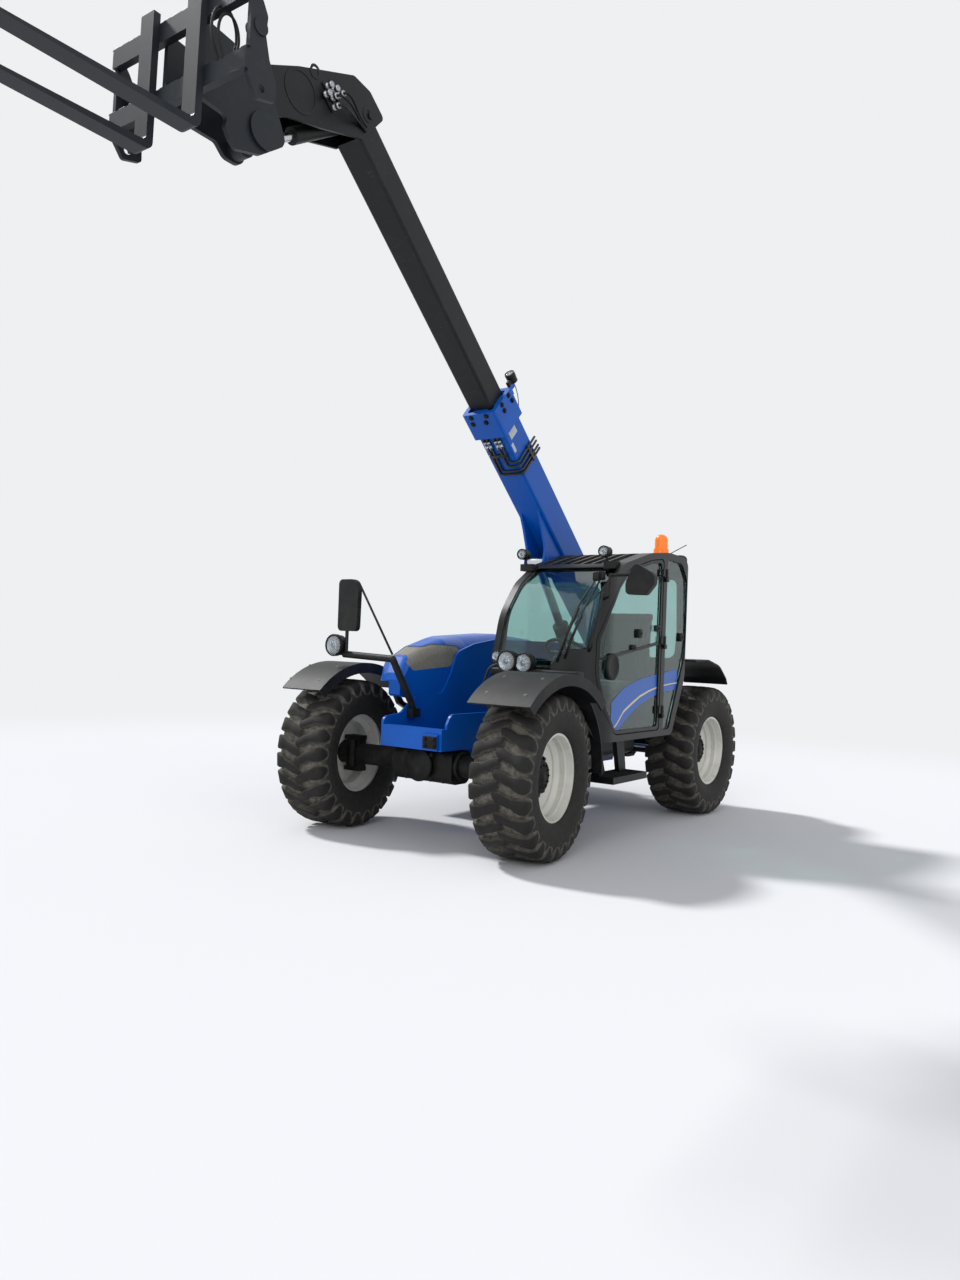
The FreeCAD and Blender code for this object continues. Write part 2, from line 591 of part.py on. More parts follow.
# four bent pipes down the boom's left face, round its lower edge and forward to their couplers
pipes = [box(("outer_width / 2 - 1", "outer_width / 2 + 18"), ("-2694", "-2538"), ("36", "60")),
         box(("-98", "78"), ("-2772", "-2748"), ("-outer_height / 2 - 19", "-outer_height / 2 + 1"))]
PIPE_SIDE = "outer_width / 2 + pipe_radius + 3"
PIPE_UNDER = "-outer_height / 2 - pipe_radius - 3"
for s, end_x in (("2557", "-82"), ("2590", "-46"), ("2635", "26"), ("2675", "62")):
    pipes.append(pipe("ZX", "-" + s, [("outer_height / 2 + 55", PIPE_SIDE), (PIPE_UNDER, PIPE_SIDE, "32"),
                                      (PIPE_UNDER, end_x + " + 40")], "pipe_radius"))
    pipes.append(pipe("XY", PIPE_UNDER, [(end_x + " + 42", "-" + s), (end_x, "-" + s, "30"), (end_x,
        "-2840")],
                      "pipe_radius"))
    pipes.append(rod("Y", "-2910", "-2830", "13", (end_x, PIPE_UNDER)))
# work lamp on the collar's upper edge
lamp = [rod("Y", "-outer_length - 62", "-outer_length + 6", "40", ("138", "collar_height / 2 + 92")),
        box(("126", "150"), ("-outer_length + 2", "-outer_length + 40"), ("collar_height / 2 - 8",
            "collar_height / 2 + 80")),
        box(("118", "158"), ("-outer_length + 2", "-outer_length + 70"), ("collar_height / 2 - 8",
            "collar_height / 2 + 10"))]
boom = cut(join(barrel_out, collar_out, boom_eye, boom_heel, *(gusset + pipes + lamp)),
           tube("outer_width", "outer_height", "200", "outer_length + 1", "outer_wall"),
           rod("X", "-outer_width", "outer_width", "pivot_pin + 0.5", ("0", "0")))
pads = []
for side in (-1, 1):
    for span in (("outer_length - 90", "outer_length - 2"), ("outer_length - overlap + 60",
        "outer_length - overlap + 160")):
        ends = boom_span(*span)
        flank = sorted(("%d * (inner_width / 2 + 0.5)" % side,
            "%d * (outer_width / 2 - outer_wall + 1)" % side),
                       key=value)
        level = sorted(("%d * (inner_height / 2 + 0.5)" % side,
            "%d * (outer_height / 2 - outer_wall + 1)" % side),
                       key=value)
        pads.append(box(flank, ends, ("-70", "70")))
        pads.append(box(("-70", "70"), ends, level))
sub_part("boom_outer", join(boom, *pads), BOOM)

sub_part("boom_inner", cut(
    tube("inner_width", "inner_height", "outer_length - overlap", "outer_length + extension"),
    tube("inner_width", "inner_height", "outer_length - overlap - 1", "outer_length + extension + 1",
        "inner_wall")),
    BOOM)

# Boom head: two side plates that drop from the inner boom's end to the carriage pivot.
HEAD_END = "-(outer_length + extension)"
EAR_Y = HEAD_END + " - ear_ahead"
HEAD_OUTLINE = [
    (HEAD_END, "-inner_height / 2 + 2"),
    (HEAD_END, "inner_height / 2 + 90", "30"),
    (HEAD_END + " - 190", "inner_height / 2 + 82", "60"),
    (HEAD_END + " - 330", "110", "60"),
    (HEAD_END + " - 570", "-359", "60"),
    (EAR_Y + " - 125", "-ear_drop + 60", "90"),
    (EAR_Y + " - 60", "-ear_drop - 125", "90"),
    (EAR_Y + " + 130", "-ear_drop - 60", "90"),
    (HEAD_END + " - 385", "-665", "60"),
    (HEAD_END + " - 220", "-440", "60"),
]
EAR_HOLE = (EAR_Y, "-ear_drop", "36")
head_sides = []
for inner, outer in (("head_width / 2 - head_plate", "head_width / 2"), ("-head_width / 2",
    "-head_width / 2 + head_plate")):
    head_sides.append(slab("YZ", inner, outer, HEAD_OUTLINE, [EAR_HOLE]))
head_top = slab("YZ", "-head_width / 2 + 1", "head_width / 2 - 1", [
    (HEAD_END, "inner_height / 2"), (HEAD_END, "inner_height / 2 + 88", "28"),
    (HEAD_END + " - 190", "inner_height / 2 + 80", "58"), (HEAD_END + " - 328", "108", "58"),
    (HEAD_END + " - 540", "-305"), (HEAD_END + " - 525", "-312"),
    (HEAD_END + " - 313", "104", "44"), (HEAD_END + " - 184", "inner_height / 2 + 65", "42"),
    (HEAD_END + " - 16", "inner_height / 2 + 70", "14"), (HEAD_END + " - 16", "inner_height / 2")])
head_back = box(("-head_width / 2 + 1", "head_width / 2 - 1"), (HEAD_END + " - 16", HEAD_END),
                ("-inner_height / 2", "inner_height / 2"))
tilt_pin = rod("X", "-head_width / 2 - 10", "head_width / 2 + 10", "pin_radius",
               (HEAD_END + " - tilt_base_s", "tilt_base_t"))
# raised rings on the side plates: place along the boom and above it, outer and inner radius
head_rings = []
for along, above, outer, inner in (("454", "-448", "140", "118"), ("92", "59", "50", "30"), ("491",
    "-240", "46", "28")):
    middle = ("%s - %s" % (HEAD_END, along), above)
    for start, end in (("head_width / 2 - 1", "head_width / 2 + 3"), ("-head_width / 2 - 3",
        "-head_width / 2 + 1")):
        head_rings.append(cut(rod("X", start, end, outer, middle), rod("X", start + " - 1", end + " + 1",
            inner, middle)))
sub_part("boom_head", join(head_top, head_back, tilt_pin, *(head_sides + head_rings)), BOOM)
sub_part("carriage_pin", rod("X", "-190", "190", "35", (EAR_Y, "-ear_drop")), BOOM)

# Carriage: a frame that swings on the boom head's pivot, and two tines on its bars. Its own frame has the
# pivot as its origin and the tines along -Y.
EAR_REACH = "(outer_length + extension + ear_ahead)"
CARRIAGE_Y = "front_axle_y + pivot_y - %s * cos(boom_angle) - ear_drop * sin(boom_angle)" % EAR_REACH
CARRIAGE_Z = "pivot_z + %s * sin(boom_angle) - ear_drop * cos(boom_angle)" % EAR_REACH
CARRIAGE = placed("centreline_x", CARRIAGE_Y, CARRIAGE_Z, (1, 0, 0), "-fork_pitch")
BAR_BACK = "-fork_face + fork_thickness"
# lower edges of the two cheeks: the left one carries a drum, the right one ends in a round lobe
LEFT_LOBE = [("lever_y + 139", "-lever_z + 44", "60"), ("lever_y + 118", "-lever_z - 1", "40"),
             ("lever_y - 43", "-lever_z - 125", "60"), ("lever_y - 229", "-lever_z - 178", "30"),
             ("lever_y - 273", "-lever_z - 142", "30"), ("lever_y - 317", "-lever_z - 79", "30"),
             ("lever_y - 292", "-lever_z - 18", "30")]
RIGHT_LOBE = [("lever_y + 74", "-lever_z + 66", "50"), ("lever_y + 72", "-lever_z - 72", "66"),
              ("lever_y - 72", "-lever_z - 72", "66"), ("lever_y - 144", "-lever_z - 5", "40")]
cheeks = [rod("X", "head_width / 2 + 39", "head_width / 2 + 58", "112", ("lever_y - 34", "-lever_z + 22"))]
for inner, outer, lobe in (("head_width / 2 + 8", "head_width / 2 + 40", LEFT_LOBE),
                           ("-head_width / 2 - 40", "-head_width / 2 - 8", RIGHT_LOBE)):
    cheeks.append(slab("YZ", inner, outer, [("75", "70", "70"), ("75", "-60", "30")] + lobe + [
        (BAR_BACK + " + bar_depth - 1", "-bar_low + 20"), (BAR_BACK + " + bar_depth - 1",
            "bar_span - bar_low - 40"),
        ("-260", "130", "80"), ("-75", "80", "40")], [("0", "0", "35.4")]))
lever_stubs = [
    rod("X", "32.6", "head_width / 2 + 12", "62", ("lever_y", "-lever_z")),
    rod("X", "-head_width / 2 - 12", "-32.6", "62", ("lever_y", "-lever_z")),
]
bars = []
for bottom in ("-bar_low", "-bar_low + bar_span - bar_height"):
    bars.append(box(("-bar_half", "bar_half"), (BAR_BACK + " + 1", BAR_BACK + " + 1 + bar_depth"),
                    (bottom, bottom + " + bar_height")))
for inner, outer in (("bar_half - 28", "bar_half"), ("-bar_half", "-bar_half + 28")):
    bars.append(slab("YZ", inner, outer, [
        (BAR_BACK + " + 20", "bar_span - bar_low"), (BAR_BACK + " + 100", "94", "40"),
            (BAR_BACK + " + 136", "32", "40"),
        (BAR_BACK + " + 128", "-76", "60"), (BAR_BACK + " + 161", "-193", "60"), (BAR_BACK + " + 213",
            "-292", "40"),
        (BAR_BACK + " + 218", "-399", "25"), (BAR_BACK + " + 92", "-434", "25"), (BAR_BACK + " + 20",
            "-340")],
        [(BAR_BACK + " + 116", "-371", "22")]))
for inner, outer in (("bar_half - 70", "bar_half + 8"), ("-bar_half - 8", "-bar_half + 70")):
    bars.append(rod("X", inner, outer, "46", (BAR_BACK + " + 88", "-50")))
carriage = join(*(cheeks + bars + lever_stubs))
sub_part("carriage_frame", carriage, CARRIAGE)
for name, middle in (("left", "fork_half"), ("right", "-fork_half")):
    tine = slab("YZ", "%s - fork_width / 2" % middle, "%s + fork_width / 2" % middle, [
        ("-fork_face + fork_thickness", "shank_top"),
        ("-fork_face", "shank_top"),
        ("-fork_face", "-fork_under + fork_thickness", "30"),
        ("-fork_face - fork_length + fork_thickness", "-fork_under + 14"),
        ("-fork_face - fork_length + fork_thickness", "-fork_under", "6"),
        ("-fork_face + fork_thickness", "-fork_under", "50")])
    sub_part("fork_tine_" + name, tine, CARRIAGE)


def boom_point(s, t):
    """A point of the boom's frame, s along it and t above it, in the machine's Y and Z."""
    angle = math.radians(value("boom_angle"))
    return (value("pivot_y") - s * math.cos(angle) + t * math.sin(angle),
            value("pivot_z") + s * math.sin(angle) + t * math.cos(angle))


def cylinder(label, base, eye, bore, shaft_radius, half_widths, barrel_length, tail):
    """A hydraulic cylinder from its base pin to its rod's eye, built along Z."""
    angle = math.degrees(math.atan2(base[0] - eye[0], eye[1] - base[1]))
    place = placed("centreline_x", "front_axle_y + (%.6f)" % base[0], "%.6f" % base[1], (1, 0, 0),
        "%.6f" % angle)
    length = "%.6f" % math.dist(base, eye)
    lug = shaft_radius + " + 18"
    base_half, eye_half = half_widths
    barrel = cut(join(rod("X", "-" + base_half, base_half, lug, ("0", "0")),
                      rod("Z", "24", "112", shaft_radius, ("0", "0")),
                      rod("Z", "100", barrel_length, bore, ("0", "0"))),
                 rod("X", "-200", "200", "pin_radius + 0.4", ("0", "0")),
                 rod("Z", "130", barrel_length + " + 1", shaft_radius + " + 0.4", ("0", "0")))
    shaft = cut(join(rod("X", "-" + eye_half, eye_half, lug, ("0", length)),
                     rod("Z", tail, length + " - 24", shaft_radius, ("0", "0"))),
                rod("X", "-200", "200", "pin_radius + 0.4", ("0", length)))
    sub_part(label + "_barrel", barrel, place)
    sub_part(label + "_rod", shaft, place)


LIFT_BASE = (value("lift_base_y"), value("lift_base_z"))
LIFT_EYE = boom_point(value("lift_lug_s"), -value("lift_lug_t"))
cylinder("lift_cylinder", LIFT_BASE, LIFT_EYE, "lift_bore", "lift_rod", ("44", "(lift_bore + 4)"), "1180",
    "700")
HEAD_S = value("outer_length + extension")
EAR = boom_point(HEAD_S + value("ear_ahead"), -value("ear_drop"))
PITCH = math.radians(value("fork_pitch"))
LEVER = (value("lever_y"), -value("lever_z"))
TILT_EYE = (EAR[0] + LEVER[0] * math.cos(PITCH) + LEVER[1] * math.sin(PITCH),
            EAR[1] - LEVER[0] * math.sin(PITCH) + LEVER[1] * math.cos(PITCH))
TILT_BASE = boom_point(HEAD_S + value("tilt_base_s"), value("tilt_base_t"))
cylinder("tilt_cylinder", TILT_BASE, TILT_EYE, "tilt_bore", "tilt_rod", ("60", "32"), "700", "450")

# Cab: a shell cut from a side profile and a plan profile, with openings for its panes and its door.
# Side profile: place behind the front axle, height, corner radius and which way is inwards
CAB_SIDE = [
    ("cab_front + 250", "cab_floor", 60, 0.8, 1),
    ("cab_front + 35", "1150", 120, 1, 0.35),
    ("cab_front", "1420", 200, 1, 0),
    ("cab_front + 90", "1800", 500, 1, -0.25),
    ("cab_front + 290", "2060", 400, 0.8, -0.6),
    ("cab_front + 570", "cab_roof - 160", 300, 0.35, -0.95),
    ("cab_front + 1030", "cab_roof - 35", 900, 0.12, -1),
    ("cab_rear - 520", "cab_roof", 900, 0, -1),
    ("cab_rear - 180", "cab_roof - 15", 100, -0.3, -1),
    ("cab_rear - 40", "cab_roof - 150", 120, -1, -0.5),
    ("cab_rear", "1700", 400, -1, 0),
    ("cab_rear - 40", "1470", 300, -1, 0.12),
    ("cab_rear - 360", "cab_floor", 80, -0.7, 1),
]


def cab_block(inset):
    """The cab's outer form, shrunk all round by an inset."""
    side = slab("YZ", "cab_inner + (%s)" % inset, "cab_outer - (%s)" % inset, [
        ("%s + (%g) * (%s)" % (y, in_y, inset), "%s + (%g) * (%s)" % (z, in_z, inset), radius)
        for y, z, radius, in_y, in_z in CAB_SIDE])
    plan = slab("XY", "cab_floor - 10", "cab_roof + 10", [
        ("cab_inner + (%s)" % inset, "cab_front - 10 + (%s)" % inset, "30"),
        ("cab_outer - (%s)" % inset, "cab_front - 10 + (%s)" % inset, "cab_corner - (%s)" % inset),
        ("cab_outer - (%s)" % inset, "cab_rear + 10 - (%s)" % inset, "160 - (%s)" % inset),
        ("cab_inner + (%s)" % inset, "cab_rear + 10 - (%s)" % inset, "30")])
    notch = box(("cab_inner - 20", "frame_half + 0.3 + (%s)" % inset), ("cab_front - 20", "cab_rear + 20"),
                ("cab_floor - 20", "plate_top + 0.3 + (%s)" % inset))
    return cut(common(side, plan), notch)


cab_solid = cab_block("0")
cab_room = cab_block("cab_wall")
cab_round = cab_block("-0.3")
glass_layer = cut(cab_block("cab_wall / 2 - glass_thickness / 2"),
    cab_block("cab_wall / 2 + glass_thickness / 2"))


def inset_points(points, distance):
    """Outline points, each pulled towards the inside by its own direction times a distance."""
    return [("%s + (%g) * (%s)" % (a, in_a, distance), "%s + (%g) * (%s)" % (b, in_b, distance), radius)
            for a, b, radius, in_a, in_b in points]


DOOR_EDGE = [
    ("door_post_y - 30", "cab_floor + cab_wall + 6", 40, -1, 1),
    ("930", "cab_floor + cab_wall + 6", 120, 0.5, 1),
    ("770", "1060", 150, 1, 0.3),
    ("690", "1330", 300, 1, 0.1),
    ("690", "1620", 200, 1, -0.1),
    ("800", "1850", 400, 0.95, -0.4),
    ("930", "2050", 300, 0.8, -0.6),
    ("1090", "2195", 200, 0.45, -0.9),
    ("1500", "2306", 300, 0.2, -1),
    ("door_post_y - 30", "2338", 40, -1, -1),
]
QUARTER_EDGE = [
    ("door_post_y + 40", "cab_floor + cab_wall + 6", 30, 1, 1),
    ("door_post_y + 40", "2340", 40, 1, -1),
    ("2120", "2328", 100, -0.6, -1),
    ("2240", "2190", 100, -1, -0.4),
    ("2270", "1700", 300, -1, 0),
    ("2240", "1500", 300, -1, 0.1),
    ("1950", "cab_floor + cab_wall + 6", 60, -0.8, 1),
]
BOOM_SIDE_EDGE = [
    ("cab_front + 110", "1420", 60, 1, 1),
    ("cab_front + 175", "1800", 400, 1, -0.2),
    ("cab_front + 360", "2030", 300, 0.8, -0.6),
    ("cab_front + 640", "2180", 200, 0.3, -1),
    ("2150", "2260", 80, -1, -1),
    ("2250", "2150", 80, -1, -0.5),
    ("2270", "1420", 60, -1, 1),
]
SCREEN_EDGE = [
    ("1382", "cab_inner + 52", 50, 1, 1),
    ("2205", "cab_inner + 66", 60, -1, 1),
    ("2205", "cab_outer - 28", 50, -1, -1),
    ("1800", "cab_outer - 60", 300, 0, -1),
    ("1536", "cab_outer - 104", 20, 1, -1),
    ("1536", "cab_outer - 200", 20, 1, 0),
    ("1382", "cab_outer - 355", 40, 1, -0.5),
]
REAR_EDGE = [
    ("1480", "cab_inner + 60", 50, 1, 1),
    ("2200", "cab_inner + 60", 50, -1, 1),
    ("2200", "cab_outer - 130", 60, -1, -1),
    ("1480", "cab_outer - 130", 60, 1, -1),
]
ROOF_EDGE = [
    ("cab_inner + 70", "cab_front + 575", 60, 1, 1),
    ("cab_outer - 120", "cab_front + 575", 80, -1, 1),
    ("cab_outer - 120", "cab_rear - 260", 60, -1, -1),
    ("cab_inner + 70", "cab_rear - 260", 60, 1, -1),
]
# pane, plane, span of its prism, edge
PANE_TABLE = [
    ("windscreen", "ZX", ("cab_front - 60", "cab_front + 545"), SCREEN_EDGE),
    ("roof_glass", "XY", ("cab_roof - 210", "cab_roof + 60"), ROOF_EDGE),
    ("rear_window", "ZX", ("cab_rear - 160", "cab_rear + 60"), REAR_EDGE),
    ("boom_side_window", "YZ", ("cab_inner - 20", "cab_inner + 80"), BOOM_SIDE_EDGE),
    ("quarter_window", "YZ", ("cab_outer - 120", "cab_outer + 20"), QUARTER_EDGE),
]
DOOR_SPAN = ("cab_outer - 130", "cab_outer + 30")
openings = [slab(plane, span[0], span[1], inset_points(edge, "0")) for pane, plane, span,
    edge in PANE_TABLE]
openings.append(slab("YZ", DOOR_SPAN[0], DOOR_SPAN[1], inset_points(DOOR_EDGE, "0")))
ROOF_BARS = 6
roof_bars = []
for i in range(ROOF_BARS):
    middle = "(cab_inner + 70 + (cab_outer - cab_inner - 190) * %d / %d)" % (i + 1, ROOF_BARS + 1)
    roof_bars.append(box((middle + " - 12", middle + " + 12"), ("cab_front + 571", "cab_rear - 256"),
                         ("cab_roof - 210", "cab_roof + 60")))
bars_over_roof = common(join(*roof_bars), cut(cab_solid, glass_layer, cab_room))
hinge_pins = []
HINGE_LEVELS = ("1000", "1600", "2180")
for level in HINGE_LEVELS:
    hinge_pins.append(rod("Z", level + " - 40", level + " - 0.5", "11", ("cab_outer + 14", "door_post_y")))
    hinge_pins.append(rod("Z", level + " - 40", level + " + 60", "6", ("cab_outer + 14", "door_post_y")))
    hinge_pins.append(box(("cab_outer - 8", "cab_outer + 14"), ("door_post_y", "door_post_y + 50"),
                          (level + " - 38", level + " - 4")))
sub_part("cab_frame", join(cut(cab_solid, cab_room, *openings), bars_over_roof, *hinge_pins), MACHINE)
for pane, plane, span, edge in PANE_TABLE:
    prism = slab(plane, span[0], span[1], inset_points(edge, "0.3"))
    sub_part(pane, common(glass_layer, prism), MACHINE)

# Door: a frame of the cab's own section with a bar between its upper and lower panes, hung on the post
# behind it.
door_prism = slab("YZ", DOOR_SPAN[0], DOOR_SPAN[1], inset_points(DOOR_EDGE, "door_gap"))
door_hole = slab("YZ", DOOR_SPAN[0], DOOR_SPAN[1], inset_points(DOOR_EDGE, "door_gap + 28"))
door_bar = slab("YZ", DOOR_SPAN[0], DOOR_SPAN[1], [
    ("720", "1450"), ("door_post_y - 50", "1600"), ("door_post_y - 50", "1622"), ("720", "1472")])
door_ring = common(cut(cab_block("3"), cab_block("cab_wall - 6")), cut(door_prism, cut(door_hole,
    door_bar)))
hinge_knuckles = []
for level in HINGE_LEVELS:
    hinge_knuckles.append(rod("Z", level, level + " + 70", "11", ("cab_outer + 14", "door_post_y")))
    hinge_knuckles.append(box(("cab_outer - 8", "cab_outer + 12"), ("door_post_y - 64", "door_post_y - 42"),
                              (level + " + 4", level + " + 66")))
    hinge_knuckles.append(box(("cab_outer + 6", "cab_outer + 12"), ("door_post_y - 50", "door_post_y"),
                              (level + " + 4", level + " + 66")))
pin_holes = [rod("Z", level + " - 1", level + " + 62", "6.4", ("cab_outer + 14", "door_post_y"))
             for level in HINGE_LEVELS]
sub_part("door_frame", cut(join(door_ring, *hinge_knuckles), *pin_holes), MACHINE)
door_hole_fit = slab("YZ", DOOR_SPAN[0], DOOR_SPAN[1], inset_points(DOOR_EDGE, "door_gap + 28.3"))
door_bar_fit = slab("YZ", DOOR_SPAN[0] + " - 5", DOOR_SPAN[1] + " + 5", [
    ("700", "1446.6"), ("door_post_y - 40", "1601.1"), ("door_post_y - 40", "1623.9"), ("700", "1469.4")])
sub_part("door_glass", common(glass_layer, cut(door_hole_fit, door_bar_fit)), MACHINE)

# Inside the cab: seat on its box, column with its wheel, and the dashboard
sub_part("seat_box", join(box(("480", "860"), ("1420", "1800"), ("cab_floor + cab_wall + 0.3", "1130")),
                          box(("440", "900"), ("1390", "1990"), ("1130", "1160")),
                          box(("600", "740"), ("1930", "1990"), ("1160", "1199.7"))), MACHINE)
sub_part("seat_cushion", slab("YZ", "430", "910", [
    ("1340", "1160.5", "20"), ("1340", "1270", "50"), ("1860", "1250", "50"), ("1860", "1160.5", "20")]),
        MACHINE)
sub_part("seat_back", slab("YZ", "440", "900", [
    ("1866", "1200", "20"), ("1930", "1900", "35"), ("2030", "1900", "35"), ("1975", "1200", "20")]),
        MACHINE)
cowl = slab("YZ", "cab_inner + 145", "cab_outer - 240", [
    ("cab_front + 20", "cab_floor + 20"), ("cab_front + 20", "1370", "20"),
    ("cab_front + 240", "1400", "60"), ("cab_front + 300", "1250", "60"), ("cab_front + 290",
        "cab_floor + 20")])
column = strut(("660", "cab_front + 260", "1195"), ("660", "cab_front + 444.4", "1489.7"), "34")
sub_part("dashboard", join(common(cowl, cab_block("cab_wall + 0.3")), column), MACHINE)
wheel_rim = doc.addObject("Part::Torus", "wheel_rim")
bind(wheel_rim, Radius1="190", Radius2="15")
wheel_hub = rod("Z", "-14", "14", "45", ("0", "0"))
spokes = box(("-180", "180"), ("-12", "12"), ("-8", "8"))
spoke = box(("-12", "12"), ("-180", "0"), ("-8", "8"))
sub_part("steering_wheel", join(wheel_rim, wheel_hub, spokes, spoke),
         placed("centreline_x + 660", "front_axle_y + cab_front + 452", "1501.8", (1, 0, 0), "-32"))

# Engine hood: a shell lofted through rounded sections, narrow beside the front wheel and wide behind it.
# place behind the front axle, outer side, top, bottom
HOOD_SECTIONS = [
    ("-50", "-510", "1235", "1120"),
    ("-25", "-540", "1290", "1100"),
    ("60", "-590", "1418", "1090"),
    ("300", "-650", "1515", "1085"),
    ("560", "-700", "1580", "1075"),
    ("880", "-hood_outer + 20", "hood_top - 25", "1000"),
    ("1500", "-hood_outer", "hood_top + 15", "960"),
    ("2060", "-hood_outer + 30", "hood_top - 20", "960"),
]


def hood_block(inset, drop):
    """The hood's outer form, shrunk by an inset and let down below its lower edge by a drop."""
    sections = []
    last = len(HOOD_SECTIONS) - 1
    for i, (y, outer, top, low) in enumerate(HOOD_SECTIONS):
        shift = {0: inset, last: "-(%s)" % inset}.get(i, "0")
        near = "-hood_inner - (%s)" % inset
        far = "%s + (%s)" % (outer, inset)
        high = "%s - (%s)" % (top, inset)
        base = "%s - (%s)" % (low, drop)
        sections.append(outline("ZX", "%s + (%s)" % (y, shift), [
            (base, near), (base, far), (high, far, "(%s - %s) * 0.42" % (near, far)),
            (high, near, "(%s - %s) * 0.3" % (near, far))]))
    piece = doc.addObject("Part::Loft", name_of("loft"))
    piece.Sections = sections
    piece.Solid = True
    piece.Ruled = True
    return piece


# window over the radiator, in the hood's slope towards the boom
HOOD_WINDOW = [
    ("30", "1368", 30, 1, -0.2), ("150", "1478", 60, 0.6, -1), ("410", "1534", 80, 0.2, -1), ("780",
        "1520", 30, -1, -0.6),
    ("600", "1345", 60, -0.7, 1), ("110", "1310", 50, 0.6, 1),
]
hood_window = slab("YZ", "-560", "-hood_inner + 40", inset_points(HOOD_WINDOW, "0"))
hood_window_fit = slab("YZ", "-560", "-hood_inner + 40", inset_points(HOOD_WINDOW, "0.5"))
hood_shell = cut(hood_block("0", "0"), hood_block("hood_wall", "5"))
HOOD_SEAM = "815"
HINGE_X = "-hood_inner - 19"
HINGE_Z = "1530"
hood_relief = [box(("-hood_inner - 40", "-hood_inner + 10"), (HOOD_SEAM, "2100"), ("900", "1500"))]
hood_leaves = []
leaf_holes = []
for y in ("950", "1850"):
    hood_relief.append(box(("-hood_inner - 50", "-hood_inner + 20"), (y + " - 20", y + " + 120"), ("1400",
        "1580")))
    hood_leaves.append(rod("Y", y + " + 12", y + " + 88", "13", (HINGE_X, HINGE_Z)))
    hood_leaves.append(box((HINGE_X + " - 110", HINGE_X), (y + " + 12", y + " + 88"), (HINGE_Z + " - 13",
        HINGE_Z)))
    leaf_holes.append(rod("Y", y, y + " + 100", "6.4", (HINGE_X, HINGE_Z)))
front_half = box(("-hood_outer - 50", "0"), ("-100", HOOD_SEAM + " + 3"), ("800", "1800"))
rear_half = box(("-hood_outer - 50", "0"), (HOOD_SEAM, "2200"), ("800", "1800"))
sub_part("engine_hood", cut(join(cut(hood_shell, front_half, *hood_relief), *hood_leaves), *leaf_holes),
    MACHINE)
# room for the steered front wheel below the nose
wheel_room = rod("Z", "1000", "1222", "420", ("-kingpin_half", "0"))
sub_part("hood_nose", join(cut(hood_shell, rear_half, hood_window, wheel_room),
                           box(("-hood_inner - 30", "-frame_half - 0.3"), ("200", "420"), ("1086",
                               "1104"))), MACHINE)
sub_part("hood_grille", common(cut(hood_block("4", "5"), hood_block("9", "10")), hood_window_fit), MACHINE)
sub_part("engine", box(("-900", "-420"), ("1000", "1850"), ("590", "1400")), MACHINE)
sub_part("engine_tray", join(
    box(("-hood_outer + 20", "-frame_half - 0.3"), ("860", "2080"), ("belly_z", "belly_z + 20")),
    box(("-hood_outer + 20", "-hood_outer + 40"), ("860", "2080"), ("belly_z", "940")),
    box(("-hood_outer + 20", "-frame_half - 0.3"), ("860", "880"), ("belly_z", "940")),
    box(("-hood_outer + 20", "-frame_half - 0.3"), ("2060", "2080"), ("belly_z", "940")),
    box(("-860", "-460"), ("1100", "1180"), ("belly_z + 20", "589.7")),
    box(("-860", "-460"), ("1670", "1750"), ("belly_z + 20", "589.7"))), MACHINE)

# Fenders: rolled shells over the wheels, on arms from the chassis
WEDGE = [("0", "axle_height"), ("-1000", "axle_height + 1010"), ("-1000", "1900"), ("1000", "1900"),
         ("1000", "axle_height + 1010")]
REAR_WEDGE = [("0", "axle_height"), ("1000", "axle_height + 1010"), ("1100", "axle_height - 60")]
for name, inner, outer, lip in (("left", "715", "1235", ("1221", "1235")), ("right", "-1140", "-715",
    ("-729", "-715"))):
    ring = cut(rod("X", inner, outer, "fender_radius + fender_wall", ("0", "axle_height")),
               rod("X", "%s - 1" % inner, "%s + 1" % outer, "fender_radius", ("0", "axle_height")))
    flange = cut(rod("X", lip[0], lip[1], "fender_radius + fender_wall", ("0", "axle_height")),
                 rod("X", lip[0] + " - 1", lip[1] + " + 1", "fender_radius - fender_flange", ("0",
                     "axle_height")))
    shell = common(join(ring, flange), slab("YZ", inner, outer, WEDGE))
    if name == "left":
        arms = [box(("frame_half + 0.3", "frame_half + 40"), ("300", "350"), ("960", "1275")),
                box(("frame_half + 0.3", "716"), ("300", "350"), ("1235", "1275")),
                common(ring, slab("YZ", inner, "cab_outer + 6", REAR_WEDGE))]
    else:
        arms = [slab("YZ", "-900", "-860", [
            ("859.7", "870"), ("859.7", "935"), ("660", "1010"), ("540", "1150"), ("510", "1160"), ("508",
                "1135"),
            ("600", "990")])]
    sub_part("fender_front_" + name, cut(join(shell, *arms), cab_round), MACHINE)
for name, inner, outer, arm in (("left", "715", "1165", ("frame_half + 0.3", "716")),
                                ("right", "-1165", "-715", ("-716", "-frame_half - 0.3"))):
    shell = slab("YZ", inner, outer, [
        ("2345", "1469"), ("2640", "1476", "260"), ("2920", "1420", "300"), ("3095", "1300", "100"),
            ("3135", "1242"),
        ("3122", "1235"), ("3082", "1292", "90"), ("2912", "1408", "290"), ("2636", "1462", "250"),
            ("2345", "1455")])
    sub_part("fender_rear_" + name, join(shell, box(arm, ("2770", "2830"), ("1395", "1440"))), MACHINE)

